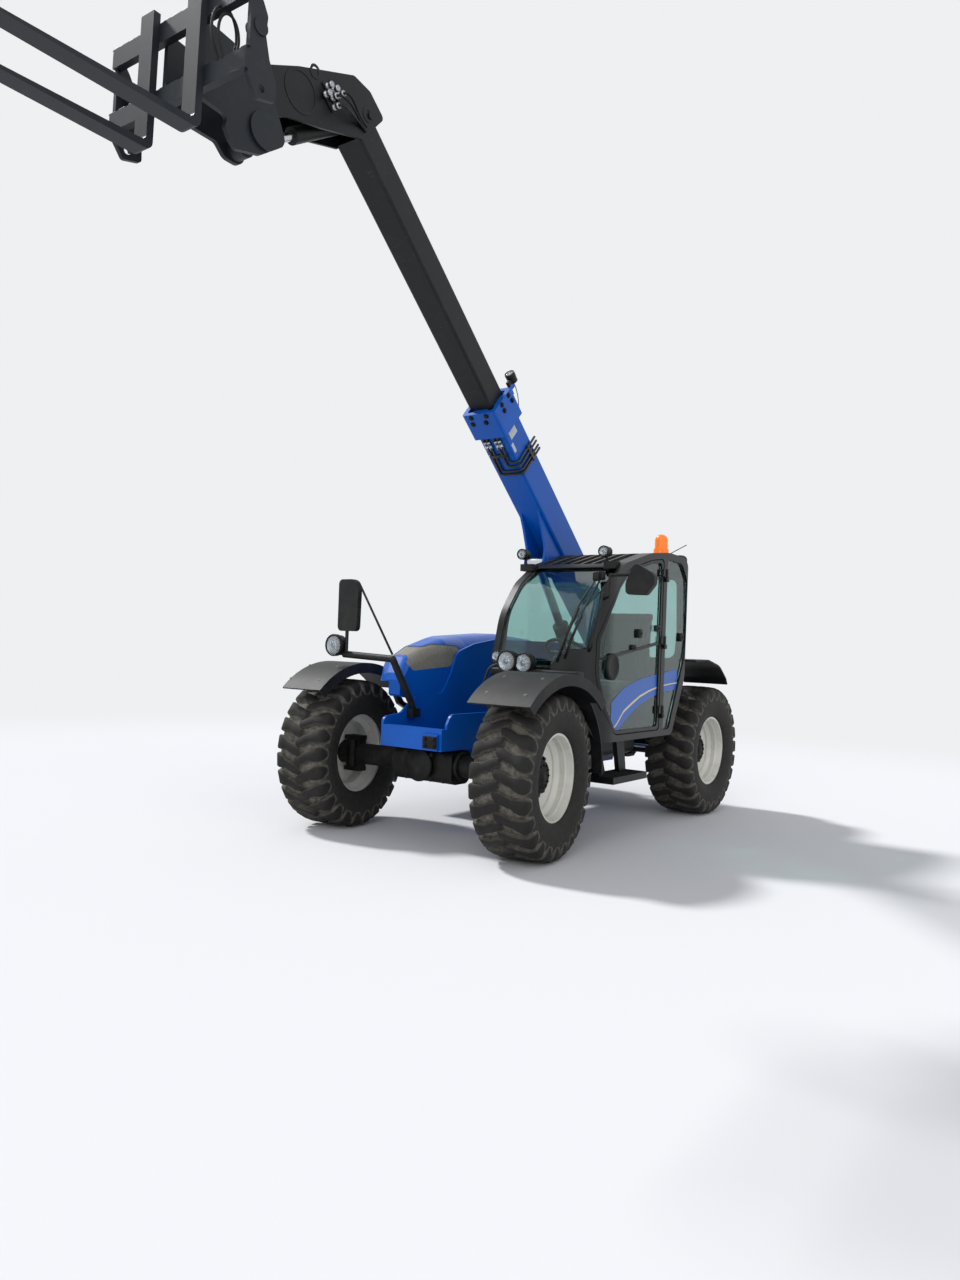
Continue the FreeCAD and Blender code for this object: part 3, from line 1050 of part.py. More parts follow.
# Step below the door, fuel tank, counterweight
step_legs = []
for top, bottom in (("800", "950"), ("1220", "1300")):
    step_legs.append(slab("YZ", "930", "970", [
        (top, "cab_floor - 0.3"), (top + " + 135", "cab_floor - 0.3"), (bottom + " + 115", "step_z + 20"),
        (bottom, "step_z + 20")]))
tread = cut(box(("900", "1150"), ("850", "1440"), ("step_z", "step_z + 55")),
            box(("910", "1140"), ("860", "1430"), ("step_z + 6", "step_z + 56")))
slats = [box((x, x + " + 12"), ("851", "1439"), ("step_z + 1", "step_z + 52")) for x in ("950", "1000",
    "1050", "1100")]
sub_part("cab_step", join(tread, *(slats + step_legs)), MACHINE)
sub_part("fuel_tank", slab("ZX", "1000", "1850", [
    ("belly_z + 10", "frame_half + 0.3"), ("500", "400", "40"), ("650", "820", "60"), ("cab_floor - 20",
        "820", "40"),
    ("cab_floor - 20", "frame_half + 0.3")]), MACHINE)
ballast = slab("YZ", "-360", "360", [
    ("rear_face + 0.3", "620"), ("rear_face + 0.3", "1200"), ("rear_face + 60", "1180", "50"),
    ("rear_face + 72", "700", "60"), ("rear_face + 50", "620", "30")])
hitch = []
for low in ("700", "800"):
    hitch.append(slab("XY", low, low + " + 25", [
        ("-60", "rear_face + 40"), ("60", "rear_face + 40"), ("60", "rear_face + 138", "55"),
        ("-60", "rear_face + 138", "55")]))
sub_part("counterweight", cut(join(ballast, *hitch), rod("Z", "690", "835", "16.5", ("0",
    "rear_face + 96"))), MACHINE)

# Lamps, beacon, mirrors
sub_part("headlamps", cut(join(
    rod("X", "320", "960", "20", ("cab_front - 42", "1330")),
    box(("320", "350"), ("cab_front - 42", "cab_front + 100"), ("1318", "1342")),
    box(("860", "890"), ("cab_front - 42", "cab_front + 150"), ("1318", "1342")),
    rod("Y", "cab_front - 120", "cab_front - 40", "70", ("457", "1420")),
    rod("Y", "cab_front - 120", "cab_front - 40", "70", ("600", "1412")),
    rod("Y", "cab_front - 110", "cab_front - 50", "44", ("335", "1455")),
    rod("Z", "1330", "1370", "14", ("457", "cab_front - 60")),
    rod("Z", "1330", "1370", "14", ("600", "cab_front - 60")),
    rod("Z", "1330", "1430", "12", ("335", "cab_front - 60"))), cab_round), MACHINE)
# name, place of the lamp, foot of its arm, block under it
ROOF_LAMPS = [
    ("left", ("958", "cab_front + 480", "2325"), ("960", "cab_front + 530", "2200"),
     (("935", "1045"), ("cab_front + 490", "cab_front + 570"), ("2190", "2250"))),
    ("right", ("190", "cab_front + 460", "2318"), ("200", "cab_front + 490", "2215"),
     (("152", "275"), ("cab_front + 460", "cab_front + 545"), ("2180", "2238"))),
    ("rear", ("1000", "cab_rear - 70", "cab_roof - 20"), ("1000", "cab_rear - 100", "cab_roof - 190"),
     (("980", "1020"), ("cab_rear - 120", "cab_rear - 80"), ("cab_roof - 200", "cab_roof - 150"))),
]
roof_lamps = []
for name, (x, y, z), foot, block in ROOF_LAMPS:
    roof_lamps.append(cut(join(rod("Y", y + " - 35", y + " + 35", "42", (x, z)), strut((x, y, z), foot,
        "10"),
                               box(*block)), cab_round))
sub_part("roof_lamps", group(*roof_lamps), MACHINE)
sub_part("beacon", cut(join(
    rod("Z", "cab_roof - 30", "cab_roof + 66", "68", ("888", "2120")),
    rod("Z", "cab_roof + 34", "cab_roof + 150", "58", ("888", "2120")),
    ball("58", "888", "2120", "cab_roof + 142")), cab_round), MACHINE)
sub_part("mirror_left", cut(join(
    slab("ZX", "630", "680", [("1960", "1312", "35"), ("2045", "1306", "60"), ("2205", "1375", "45"),
                              ("2112", "1540", "60"), ("2040", "1548", "40"), ("1955", "1480", "40")]),
    strut(("1060", "760", "1930"), ("1146", "676", "1952"), "12"), ball("12", "1146", "676", "1952"),
    strut(("1146", "676", "1952"), ("1152", "676", "2112"), "12"), ball("12", "1152", "676", "2112"),
    strut(("1152", "676", "2112"), ("1440", "672", "2112"), "12")), cab_round), MACHINE)
MIRROR_FOOT = ("-248", "60", "985")
MIRROR_BEND = ("-248", "-215", "1405")
MIRROR_END = ("-770", "-215", "1425")
sub_part("mirror_right", join(
    slab("ZX", "-245", "-200", [("1612", "-826", "40"), ("2030", "-826", "40"), ("2030", "-650", "60"),
                                ("1935", "-612", "60"), ("1612", "-618", "40")]),
    rod("Z", "1422", "1640", "14", ("-740", "-222")),
    strut(MIRROR_BEND, MIRROR_END, "28"), ball("28", *MIRROR_BEND),
    strut(MIRROR_BEND, ("-248", "22", "1065"), "28"), ball("28", "-248", "22", "1065"),
    strut(("-248", "22", "1065"), MIRROR_FOOT, "28"), ball("28", *MIRROR_FOOT),
    box(("-277.7", "-216"), ("12", "108"), ("940", "1010")),
    rod("Y", "-270", "-200", "82", ("-832", "1495")),
    strut(MIRROR_END, ("-832", "-225", "1495"), "16")), MACHINE)

doc.recompute()
for piece in doc.Objects:
    if "Invalid" in piece.State or "Error" in piece.State:
        raise RuntimeError("%s failed: %s" % (piece.Label, piece.State))
os.makedirs("parts", exist_ok=True)
for piece in sub_parts:
    if piece.Shape.isNull() or not piece.Shape.isValid():
        raise RuntimeError("%s has no valid shape" % piece.Label)
    piece.Shape.exportStep("parts/%s.step" % piece.Label)
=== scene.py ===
import math

import bmesh
import bpy
from mathutils import Matrix, Vector


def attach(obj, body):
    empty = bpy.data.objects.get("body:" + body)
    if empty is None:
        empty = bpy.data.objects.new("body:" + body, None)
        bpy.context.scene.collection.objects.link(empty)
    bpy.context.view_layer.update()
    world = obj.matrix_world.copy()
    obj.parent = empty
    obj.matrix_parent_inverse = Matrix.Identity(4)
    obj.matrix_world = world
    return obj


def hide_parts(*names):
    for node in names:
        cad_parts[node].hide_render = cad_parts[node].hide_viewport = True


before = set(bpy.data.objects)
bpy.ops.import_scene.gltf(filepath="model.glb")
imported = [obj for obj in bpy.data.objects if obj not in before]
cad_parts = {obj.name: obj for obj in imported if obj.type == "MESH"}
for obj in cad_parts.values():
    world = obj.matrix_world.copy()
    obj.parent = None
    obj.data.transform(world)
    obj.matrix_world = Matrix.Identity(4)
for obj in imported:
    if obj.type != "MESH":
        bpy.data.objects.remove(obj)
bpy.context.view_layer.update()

# ---------------------------------------------------------------------------------------------------------
# Camera: stands ahead of the machine's left front wheel, at a standing person's eye height.
CAMERA_PLACE = Vector((4.4771, -5.6523, 1.5514))
CAMERA_YAW = 0.6258
CAMERA_PITCH = 0.0035
CAMERA_ROLL = 0.0361
CAMERA_LENS = 948.35 / 1280 * 36

forward = Vector((-math.sin(CAMERA_YAW) * math.cos(CAMERA_PITCH),
                  math.cos(CAMERA_YAW) * math.cos(CAMERA_PITCH), math.sin(CAMERA_PITCH)))
level_right = Vector((math.cos(CAMERA_YAW), math.sin(CAMERA_YAW), 0))
level_up = level_right.cross(forward)
right = level_right * math.cos(CAMERA_ROLL) + level_up * math.sin(CAMERA_ROLL)
up = level_up * math.cos(CAMERA_ROLL) - level_right * math.sin(CAMERA_ROLL)
camera = bpy.data.objects.new("camera", bpy.data.cameras.new("camera"))
camera.data.lens = CAMERA_LENS
camera.data.sensor_width = 36
camera.data.clip_end = 200
camera.matrix_world = Matrix.Translation(CAMERA_PLACE) @ Matrix((right, up, -forward)).transposed().to_4x4()
bpy.context.collection.objects.link(camera)
bpy.context.scene.camera = camera
bpy.context.scene.view_settings.view_transform = "Standard"

# ---------------------------------------------------------------------------------------------------------
# Studio: a pale floor that fades into a white room, with one soft main lamp and two weak ones.


def linear(colour, alpha=1.0):
    """An sRGB hex colour as Blender's linear numbers."""
    parts = [int(colour[i:i + 2], 16) / 255 for i in (1, 3, 5)]
    return tuple(c / 12.92 if c <= 0.04045 else ((c + 0.055) / 1.055) ** 2.4 for c in parts) + (alpha,)


def add(tree, kind, inputs=None, **settings):
    """A node in a tree, with its settings and with its inputs set or linked."""
    node = tree.nodes.new(kind)
    for name, setting in settings.items():
        setattr(node, name, setting)
    for name, given in (inputs or {}).items():
        if isinstance(given, bpy.types.NodeSocket):
            tree.links.new(given, node.inputs[name])
        else:
            node.inputs[name].default_value = given
    return node


def blank_material(name):
    """A material with an empty tree, returned with that tree."""
    material = bpy.data.materials.new(name)
    material.use_nodes = True
    material.node_tree.nodes.clear()
    return material, material.node_tree


def mesh_object(name, mesh, material=None):
    """An object for a mesh, linked to the scene."""
    thing = bpy.data.objects.new(name, mesh)
    bpy.context.collection.objects.link(thing)
    if material:
        mesh.materials.append(material)
    return thing


ROOM_WHITE = linear("#eef0f2")
FLOOR_PALE = linear("#d9dadb")
FLOOR_HALF = 40.0
FADE_FROM = 7.0
FADE_TO = 13.0

room = bpy.data.worlds.new("room")
bpy.context.scene.world = room
room.use_nodes = True
tree = room.node_tree
tree.nodes.clear()
path = add(tree, "ShaderNodeLightPath")
seen = add(tree, "ShaderNodeMath", {0: path.outputs["Is Camera Ray"], 1: path.outputs["Is Glossy Ray"]}, operation="MAXIMUM")
seen = add(tree, "ShaderNodeMath", {0: seen.outputs[0], 1: path.outputs["Is Transmission Ray"]}, operation="MAXIMUM")
soft = add(tree, "ShaderNodeBackground", {"Color": linear("#f4f6ff"), "Strength": 0.5})
shown = add(tree, "ShaderNodeBackground", {"Color": ROOM_WHITE, "Strength": 1.0})
both = add(tree, "ShaderNodeMixShader", {0: seen.outputs[0], 1: soft.outputs[0], 2: shown.outputs[0]})
add(tree, "ShaderNodeOutputWorld", {"Surface": both.outputs[0]})

floor_finish, tree = blank_material("studio_floor")
place = add(tree, "ShaderNodeTexCoord")
reach = add(tree, "ShaderNodeVectorMath", {0: place.outputs["Object"]}, operation="LENGTH")
fade = add(tree, "ShaderNodeMapRange", {"Value": reach.outputs["Value"], "From Min": FADE_FROM, "From Max": FADE_TO},
           interpolation_type="SMOOTHSTEP")
path = add(tree, "ShaderNodeLightPath")
seen = add(tree, "ShaderNodeMath", {0: path.outputs["Is Camera Ray"], 1: path.outputs["Is Glossy Ray"]}, operation="MAXIMUM")
seen = add(tree, "ShaderNodeMath", {0: seen.outputs[0], 1: path.outputs["Is Transmission Ray"]}, operation="MAXIMUM")
amount = add(tree, "ShaderNodeMath", {0: fade.outputs[0], 1: seen.outputs[0]}, operation="MULTIPLY")
matt = add(tree, "ShaderNodeBsdfDiffuse", {"Color": FLOOR_PALE})
glow = add(tree, "ShaderNodeEmission", {"Color": ROOM_WHITE, "Strength": 1.0})
both = add(tree, "ShaderNodeMixShader", {0: amount.outputs[0], 1: matt.outputs[0], 2: glow.outputs[0]})
add(tree, "ShaderNodeOutputMaterial", {"Surface": both.outputs[0]})
floor_mesh = bpy.data.meshes.new("studio_floor")
floor_mesh.from_pydata([(-FLOOR_HALF, -FLOOR_HALF, 0), (FLOOR_HALF, -FLOOR_HALF, 0), (FLOOR_HALF, FLOOR_HALF, 0),
                        (-FLOOR_HALF, FLOOR_HALF, 0)], [], [(0, 1, 2, 3)])
mesh_object("studio_floor", floor_mesh, floor_finish)

# name, strength, spread, direction that the lamp shines in
LAMPS = [
    ("main_lamp", 3.0, 0.12, (0.95, 0.10, -1.0)),
    ("camera_side_lamp", 0.9, 0.8, (-0.25, 0.9, -0.45)),
    ("side_lamp", 0.5, 0.8, (-0.9, 0.2, -0.4)),
]
for name, strength, spread, direction in LAMPS:
    lamp = bpy.data.lights.new(name, "SUN")
    lamp.energy = strength
    lamp.angle = spread
    thing = bpy.data.objects.new(name, lamp)
    thing.rotation_euler = Vector(direction).to_track_quat("-Z", "Y").to_euler()
    bpy.context.collection.objects.link(thing)

# ---------------------------------------------------------------------------------------------------------
# Painted steel: sprayed two-pack paint, a little orange peel, dust in patches and scuffs down to primer.


def patches(tree, scale, detail=6.0, roughness=0.6, low=0.45, high=0.65):
    """A soft random mask of blotches; scale is in blotches a metre."""
    place = add(tree, "ShaderNodeTexCoord")
    noise = add(tree, "ShaderNodeTexNoise", {"Vector": place.outputs["Object"], "Scale": scale, "Detail": detail,
                                             "Roughness": roughness})
    return add(tree, "ShaderNodeMapRange", {"Value": noise.outputs["Fac"], "From Min": low, "From Max": high}).outputs[0]


def blend_colours(tree, amount, first, second):
    """A colour between two, each a colour or a socket."""
    mix = add(tree, "ShaderNodeMix", data_type="RGBA")
    for index, given in ((0, amount), (6, first), (7, second)):
        if isinstance(given, bpy.types.NodeSocket):
            tree.links.new(given, mix.inputs[index])
        else:
            mix.inputs[index].default_value = given
    return mix.outputs[2]


def worn_paint(name, colour, dust="#8d8574", dust_amount=0.35, bare="#6b6f73", scuffs=0.0, gloss=0.35, coat=0.0,
               peel=0.0004, shine=0.5):
    """Sprayed paint on steel with dust and scuffs."""
    material, tree = blank_material(name)
    tone = patches(tree, 1.7, low=0.3, high=0.7)
    base = blend_colours(tree, tone, linear(colour), tuple(c * 0.82 for c in linear(colour)[:3]) + (1.0,))
    dusty = patches(tree, 5.5, detail=9.0, roughness=0.72, low=0.50, high=0.80)
    dusty = add(tree, "ShaderNodeMath", {0: dusty, 1: dust_amount}, operation="MULTIPLY").outputs[0]
    shade = blend_colours(tree, dusty, base, linear(dust))
    if scuffs:
        place = add(tree, "ShaderNodeTexCoord")
        stretch = add(tree, "ShaderNodeMapping", {"Vector": place.outputs["Object"], "Scale": (9.0, 40.0, 40.0)})
        streak = add(tree, "ShaderNodeTexNoise", {"Vector": stretch.outputs[0], "Scale": 1.0, "Detail": 8.0,
                                                  "Roughness": 0.75})
        worn = add(tree, "ShaderNodeMapRange", {"Value": streak.outputs["Fac"], "From Min": 0.62, "From Max": 0.70})
        worn = add(tree, "ShaderNodeMath", {0: worn.outputs[0], 1: scuffs}, operation="MULTIPLY").outputs[0]
        shade = blend_colours(tree, worn, shade, linear(bare))
    rough = add(tree, "ShaderNodeMapRange", {"Value": dusty, "To Min": gloss, "To Max": min(1.0, gloss + 0.5)})
    place = add(tree, "ShaderNodeTexCoord")
    grain = add(tree, "ShaderNodeTexNoise", {"Vector": place.outputs["Object"], "Scale": 140.0, "Detail": 3.0})
    bump = add(tree, "ShaderNodeBump", {"Height": grain.outputs["Fac"], "Strength": 0.25, "Distance": peel})
    shader = add(tree, "ShaderNodeBsdfPrincipled", {
        "Base Color": shade, "Roughness": rough.outputs[0], "Normal": bump.outputs[0], "Coat Weight": coat,
        "Coat Roughness": 0.12, "Specular IOR Level": shine})
    add(tree, "ShaderNodeOutputMaterial", {"Surface": shader.outputs[0]})
    return material


def finish_nodes(material, *names):
    """Give CAD nodes a material."""
    for name in names:
        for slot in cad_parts[name].material_slots:
            slot.material = material


BLUE = worn_paint("blue_gloss_paint", "#0055b4", dust="#35618f", dust_amount=0.08, scuffs=0.05, gloss=0.34, coat=0.0,
                  shine=0.3)
BLACK = worn_paint("black_satin_paint", "#090a0b", dust="#3b3935", dust_amount=0.3, gloss=0.45, shine=0.3)
CAB_BLACK = worn_paint("cab_black_paint", "#060708", dust="#2c2b29", dust_amount=0.2, gloss=0.36, shine=0.35)
BOOM_BLACK = worn_paint("boom_black_paint", "#0a0b0e", dust="#34363a", dust_amount=0.35, scuffs=0.35, gloss=0.42, shine=0.3)
AXLE_BLACK = worn_paint("axle_black_paint", "#070707", dust="#45413a", dust_amount=0.45, gloss=0.6, shine=0.25)
TOOL_GREY = worn_paint("tool_grey_paint", "#1c2127", dust="#4b4944", dust_amount=0.3, bare="#5d4132", scuffs=0.3,
                       gloss=0.5, shine=0.3)
RIM_CREAM = worn_paint("rim_cream_paint", "#d9d8cf", dust="#857c6f", dust_amount=0.4, gloss=0.4)

finish_nodes(BLUE, "chassis_frame", "boom_outer", "engine_hood", "hood_nose")
finish_nodes(BLACK, "counterweight", "engine_tray", "fuel_tank", "cab_step", "lift_cylinder_barrel",
             "tilt_cylinder_barrel")
finish_nodes(CAB_BLACK, "cab_frame", "door_frame")
finish_nodes(BOOM_BLACK, "boom_inner", "boom_head")
finish_nodes(TOOL_GREY, "carriage_frame", "fork_tine_left", "fork_tine_right")
WHEELS = ["front_left", "front_right", "rear_left", "rear_right"]
finish_nodes(AXLE_BLACK, "axle_front", "axle_rear", *["knuckle_" + name for name in WHEELS])
finish_nodes(RIM_CREAM, *["rim_" + name for name in WHEELS])

# ---------------------------------------------------------------------------------------------------------
# Bright steel, cast iron, moulded plastic and glass: the finishes of the other pieces.


def bright_steel(name, colour, roughness):
    """Ground or plated steel with faint turning marks."""
    material, tree = blank_material(name)
    marks = patches(tree, 60.0, detail=4.0, low=0.3, high=0.7)
    rough = add(tree, "ShaderNodeMapRange", {"Value": marks, "To Min": roughness, "To Max": roughness + 0.15})
    shader = add(tree, "ShaderNodeBsdfPrincipled", {"Base Color": linear(colour), "Metallic": 1.0,
                                                    "Roughness": rough.outputs[0]})
    add(tree, "ShaderNodeOutputMaterial", {"Surface": shader.outputs[0]})
    return material


def moulded_plastic(name, colour, dust_amount=0.22, roughness=0.55):
    """Moulded polyethylene with a fine pebble grain and dust."""
    material, tree = blank_material(name)
    dusty = patches(tree, 7.0, detail=8.0, roughness=0.7, low=0.45, high=0.75)
    dusty = add(tree, "ShaderNodeMath", {0: dusty, 1: dust_amount}, operation="MULTIPLY").outputs[0]
    shade = blend_colours(tree, dusty, linear(colour), linear("#48453f"))
    place = add(tree, "ShaderNodeTexCoord")
    pebble = add(tree, "ShaderNodeTexVoronoi", {"Vector": place.outputs["Object"], "Scale": 260.0})
    bump = add(tree, "ShaderNodeBump", {"Height": pebble.outputs["Distance"], "Strength": 0.3, "Distance": 0.0006})
    shader = add(tree, "ShaderNodeBsdfPrincipled", {"Base Color": shade, "Roughness": roughness,
                                                    "Normal": bump.outputs[0], "Specular IOR Level": 0.3})
    add(tree, "ShaderNodeOutputMaterial", {"Surface": shader.outputs[0]})
    return material


CHROME = bright_steel("chromed_rod", "#c9cbce", 0.12)
ZINC = bright_steel("zinc_plated_steel", "#a7a9ac", 0.35)
CAST = worn_paint("cast_iron_grey", "#3b3c3e", dust="#4e483f", dust_amount=0.5, gloss=0.6)
PLASTIC = moulded_plastic("black_moulded_plastic", "#0c0d0e")
SOFT_BLACK = moulded_plastic("cab_trim_plastic", "#131415", dust_amount=0.1)
finish_nodes(CHROME, "lift_cylinder_rod", "tilt_cylinder_rod", "tie_rod_front", "tie_rod_rear")
finish_nodes(ZINC, "boom_pivot_pin", "carriage_pin")
finish_nodes(CAST, "engine")
finish_nodes(PLASTIC, "fender_front_left", "fender_front_right", "fender_rear_left", "fender_rear_right",
             "mirror_left", "mirror_right", "headlamps", "roof_lamps")
finish_nodes(SOFT_BLACK, "seat_box", "seat_cushion", "seat_back", "dashboard", "steering_wheel")

GLASS, tree = blank_material("tinted_cab_glass")
dirt = patches(tree, 4.0, detail=7.0, low=0.45, high=0.85)
rough = add(tree, "ShaderNodeMapRange", {"Value": dirt, "To Min": 0.0, "To Max": 0.05})
pane = add(tree, "ShaderNodeBsdfPrincipled", {"Base Color": linear("#b9d6d3"), "Roughness": rough.outputs[0],
                                              "Transmission Weight": 1.0, "IOR": 1.45})
clear = add(tree, "ShaderNodeBsdfTransparent", {"Color": linear("#b4cfca")})
path = add(tree, "ShaderNodeLightPath")
both = add(tree, "ShaderNodeMixShader", {0: path.outputs["Is Shadow Ray"], 1: pane.outputs[0], 2: clear.outputs[0]})
add(tree, "ShaderNodeOutputMaterial", {"Surface": both.outputs[0]})
finish_nodes(GLASS, "windscreen", "roof_glass", "rear_window", "boom_side_window", "quarter_window", "door_glass")

AMBER, tree = blank_material("amber_acrylic")
shader = add(tree, "ShaderNodeBsdfPrincipled", {"Base Color": linear("#f08a1c"), "Roughness": 0.25,
                                                "Transmission Weight": 0.35, "Emission Color": linear("#e06a10"),
                                                "Emission Strength": 0.25})
add(tree, "ShaderNodeOutputMaterial", {"Surface": shader.outputs[0]})
finish_nodes(AMBER, "beacon")

MESH_GREY, tree = blank_material("woven_wire_mesh")
place = add(tree, "ShaderNodeTexCoord")
cells = add(tree, "ShaderNodeTexVoronoi", {"Vector": place.outputs["Object"], "Scale": 160.0}, feature="DISTANCE_TO_EDGE")
holes = add(tree, "ShaderNodeMapRange", {"Value": cells.outputs["Distance"], "From Min": 0.10, "From Max": 0.22})
shade = blend_colours(tree, holes.outputs[0], linear("#8b877c"), linear("#3c3a36"))
shader = add(tree, "ShaderNodeBsdfPrincipled", {"Base Color": shade, "Roughness": 0.6})
add(tree, "ShaderNodeOutputMaterial", {"Surface": shader.outputs[0]})
finish_nodes(MESH_GREY, "hood_grille")

# ---------------------------------------------------------------------------------------------------------
# Tyres: rubber carcass with staggered chevron lugs, moulded in one; dust settles between the lugs.
TYRE_LUGS = 25
AXLE_HEIGHT = 0.608
KINGPIN_HALF = 0.840
WHEEL_OFFSET = 0.100
WHEELBASE = 2.850
FRONT_TURN = math.radians(7)
CENTRELINE_X = -0.147
FRONT_AXLE_Y = 0.154
# across, radius, dust of the carcass from bead to bead
CARCASS = [
    (-0.172, 0.318, 0.1), (-0.190, 0.324, 0.1), (-0.203, 0.345, 0.1), (-0.216, 0.385, 0.1), (-0.2235, 0.430, 0.1),
    (-0.2235, 0.475, 0.15), (-0.217, 0.515, 0.3), (-0.203, 0.543, 0.8), (-0.175, 0.558, 1.0), (-0.110, 0.566, 1.0),
    (-0.040, 0.569, 1.0), (0.040, 0.569, 1.0), (0.110, 0.566, 1.0), (0.175, 0.558, 1.0), (0.203, 0.543, 0.8),
    (0.217, 0.515, 0.3), (0.2235, 0.475, 0.15), (0.2235, 0.430, 0.1), (0.216, 0.385, 0.1), (0.203, 0.345, 0.1),
    (0.190, 0.324, 0.1), (0.172, 0.318, 0.1),
]
# across, top radius, foot radius, shift along the tread, half width of a lug from the tread's middle outwards
LUG = [
    (-0.020, 0.6050, 0.5640, 0.070, 0.024), (-0.004, 0.6075, 0.5645, 0.066, 0.033), (0.040, 0.6075, 0.5645, 0.050, 0.042),
    (0.084, 0.6065, 0.5630, 0.032, 0.040), (0.112, 0.6040, 0.5620, 0.020, 0.036), (0.140, 0.6045, 0.5610, 0.010, 0.047),
    (0.172, 0.6010, 0.5550, 0.002, 0.056), (0.200, 0.5920, 0.5410, -0.003, 0.058), (0.2170, 0.5750, 0.5200, -0.006, 0.055),
    (0.2240, 0.5450, 0.5000, -0.007, 0.047), (0.2247, 0.5200, 0.4870, -0.007, 0.034), (0.2235, 0.5000, 0.4830, -0.007, 0.018),
]


def new_mesh(name, points, faces, dust=None):
    """A mesh with smooth faces and, if given, a dust value at each point."""
    mesh = bpy.data.meshes.new(name)
    mesh.from_pydata(points, [], faces)
    shell = bmesh.new()
    shell.from_mesh(mesh)
    bmesh.ops.recalc_face_normals(shell, faces=shell.faces)
    shell.to_mesh(mesh)
    shell.free()
    mesh.shade_smooth()
    if dust:
        layer = mesh.attributes.new("dust", "FLOAT", "POINT")
        layer.data.foreach_set("value", dust)
    return mesh


def turned(name, profile, segments, dust=None):
    """A mesh spun about the X axis from (along, radius) points."""
    points = []
    faces = []
    for i in range(segments):
        angle = 2 * math.pi * i / segments
        for along, radius in profile:
            points.append((along, radius * math.cos(angle), radius * math.sin(angle)))
    rows = len(profile)
    for i in range(segments):
        here = i * rows
        there = (i + 1) % segments * rows
        for j in range(rows - 1):
            faces.append((here + j, here + j + 1, there + j + 1, there + j))
    return new_mesh(name, points, faces, dust * segments if dust else None)


def lug_mesh():
    """One lug, bent round the tread, with chamfered edges."""
    points = []
    faces = []
    dust = []
    for across, top, foot, shift, half in LUG:
        middle = shift / 0.6
        section = [(-half - 0.004, foot, 1.0), (-half, top - 0.010, 0.5), (-half + 0.009, top, 0.05),
                   (half - 0.009, top, 0.05), (half, top - 0.010, 0.5), (half + 0.004, foot, 1.0)]
        for along, radius, dirt in section:
            angle = middle + along / 0.6
            points.append((across, radius * math.sin(angle), radius * math.cos(angle)))
            dust.append(dirt)
    for i in range(len(LUG) - 1):
        for j in range(5):
            a = i * 6 + j
            faces.append((a, a + 1, a + 7, a + 6))
    faces.append(tuple(range(6)))
    faces.append(tuple(len(points) - 1 - k for k in range(6)))
    return new_mesh("lug", points, faces, dust)


def ring_tree():
    """Repeats a piece round the X axis: inputs Count, Turn of the first one, and Finish."""
    tree = bpy.data.node_groups.new("ring_of_pieces", "GeometryNodeTree")
    tree.interface.new_socket("Geometry", in_out="INPUT", socket_type="NodeSocketGeometry")
    tree.interface.new_socket("Count", in_out="INPUT", socket_type="NodeSocketInt")
    tree.interface.new_socket("Turn", in_out="INPUT", socket_type="NodeSocketFloat")
    tree.interface.new_socket("Finish", in_out="INPUT", socket_type="NodeSocketMaterial")
    tree.interface.new_socket("Geometry", in_out="OUTPUT", socket_type="NodeSocketGeometry")
    given = add(tree, "NodeGroupInput")
    points = add(tree, "GeometryNodePoints", {"Count": given.outputs["Count"]})
    index = add(tree, "GeometryNodeInputIndex")
    share = add(tree, "ShaderNodeMath", {0: index.outputs[0], 1: given.outputs["Count"]}, operation="DIVIDE")
    angle = add(tree, "ShaderNodeMath", {0: share.outputs[0], 1: 2 * math.pi, 2: given.outputs["Turn"]},
                operation="MULTIPLY_ADD")
    turn = add(tree, "ShaderNodeCombineXYZ", {"X": angle.outputs[0]})
    copies = add(tree, "GeometryNodeInstanceOnPoints", {"Points": points.outputs[0], "Instance": given.outputs["Geometry"],
                                                        "Rotation": turn.outputs[0]})
    real = add(tree, "GeometryNodeRealizeInstances", {"Geometry": copies.outputs[0]})
    finish = add(tree, "GeometryNodeSetMaterial", {"Geometry": real.outputs[0], "Material": given.outputs["Finish"]})
    add(tree, "NodeGroupOutput", {"Geometry": finish.outputs[0]})
    return tree


RING = ring_tree()


def repeated(tree, mesh, **inputs):
    """The plain mesh that a tree makes of a piece."""
    holder = mesh_object("holder", mesh)
    modifier = holder.modifiers.new("repeat", "NODES")
    modifier.node_group = tree
    for item in tree.interface.items_tree:
        if item.in_out == "INPUT" and item.name in inputs:
            modifier[item.identifier] = inputs[item.name]
    bpy.context.view_layer.update()
    result = bpy.data.meshes.new_from_object(holder.evaluated_get(bpy.context.evaluated_depsgraph_get()))
    holder.modifiers.remove(modifier)
    bpy.data.objects.remove(holder)
    return result


def joined(name, parts, material=None):
    """One mesh from several (mesh, matrix) pairs."""
    shell = bmesh.new()
    finishes = []
    for mesh, matrix in parts:
        start = len(shell.verts)
        first_face = len(shell.faces)
        shell.from_mesh(mesh)
        shell.verts.ensure_lookup_table()
        shell.faces.ensure_lookup_table()
        bmesh.ops.transform(shell, matrix=matrix, verts=shell.verts[start:])
        offset = {}
        for index, finish in enumerate(mesh.materials):
            if finish not in finishes:
                finishes.append(finish)
            offset[index] = finishes.index(finish)
        for face in shell.faces[first_face:]:
            face.material_index = offset.get(face.material_index, 0)
            if matrix.determinant() < 0:
                face.normal_flip()
    result = bpy.data.meshes.new(name)
    shell.to_mesh(result)
    shell.free()
    for finish in ([material] if material else finishes):
        result.materials.append(finish)
    return result


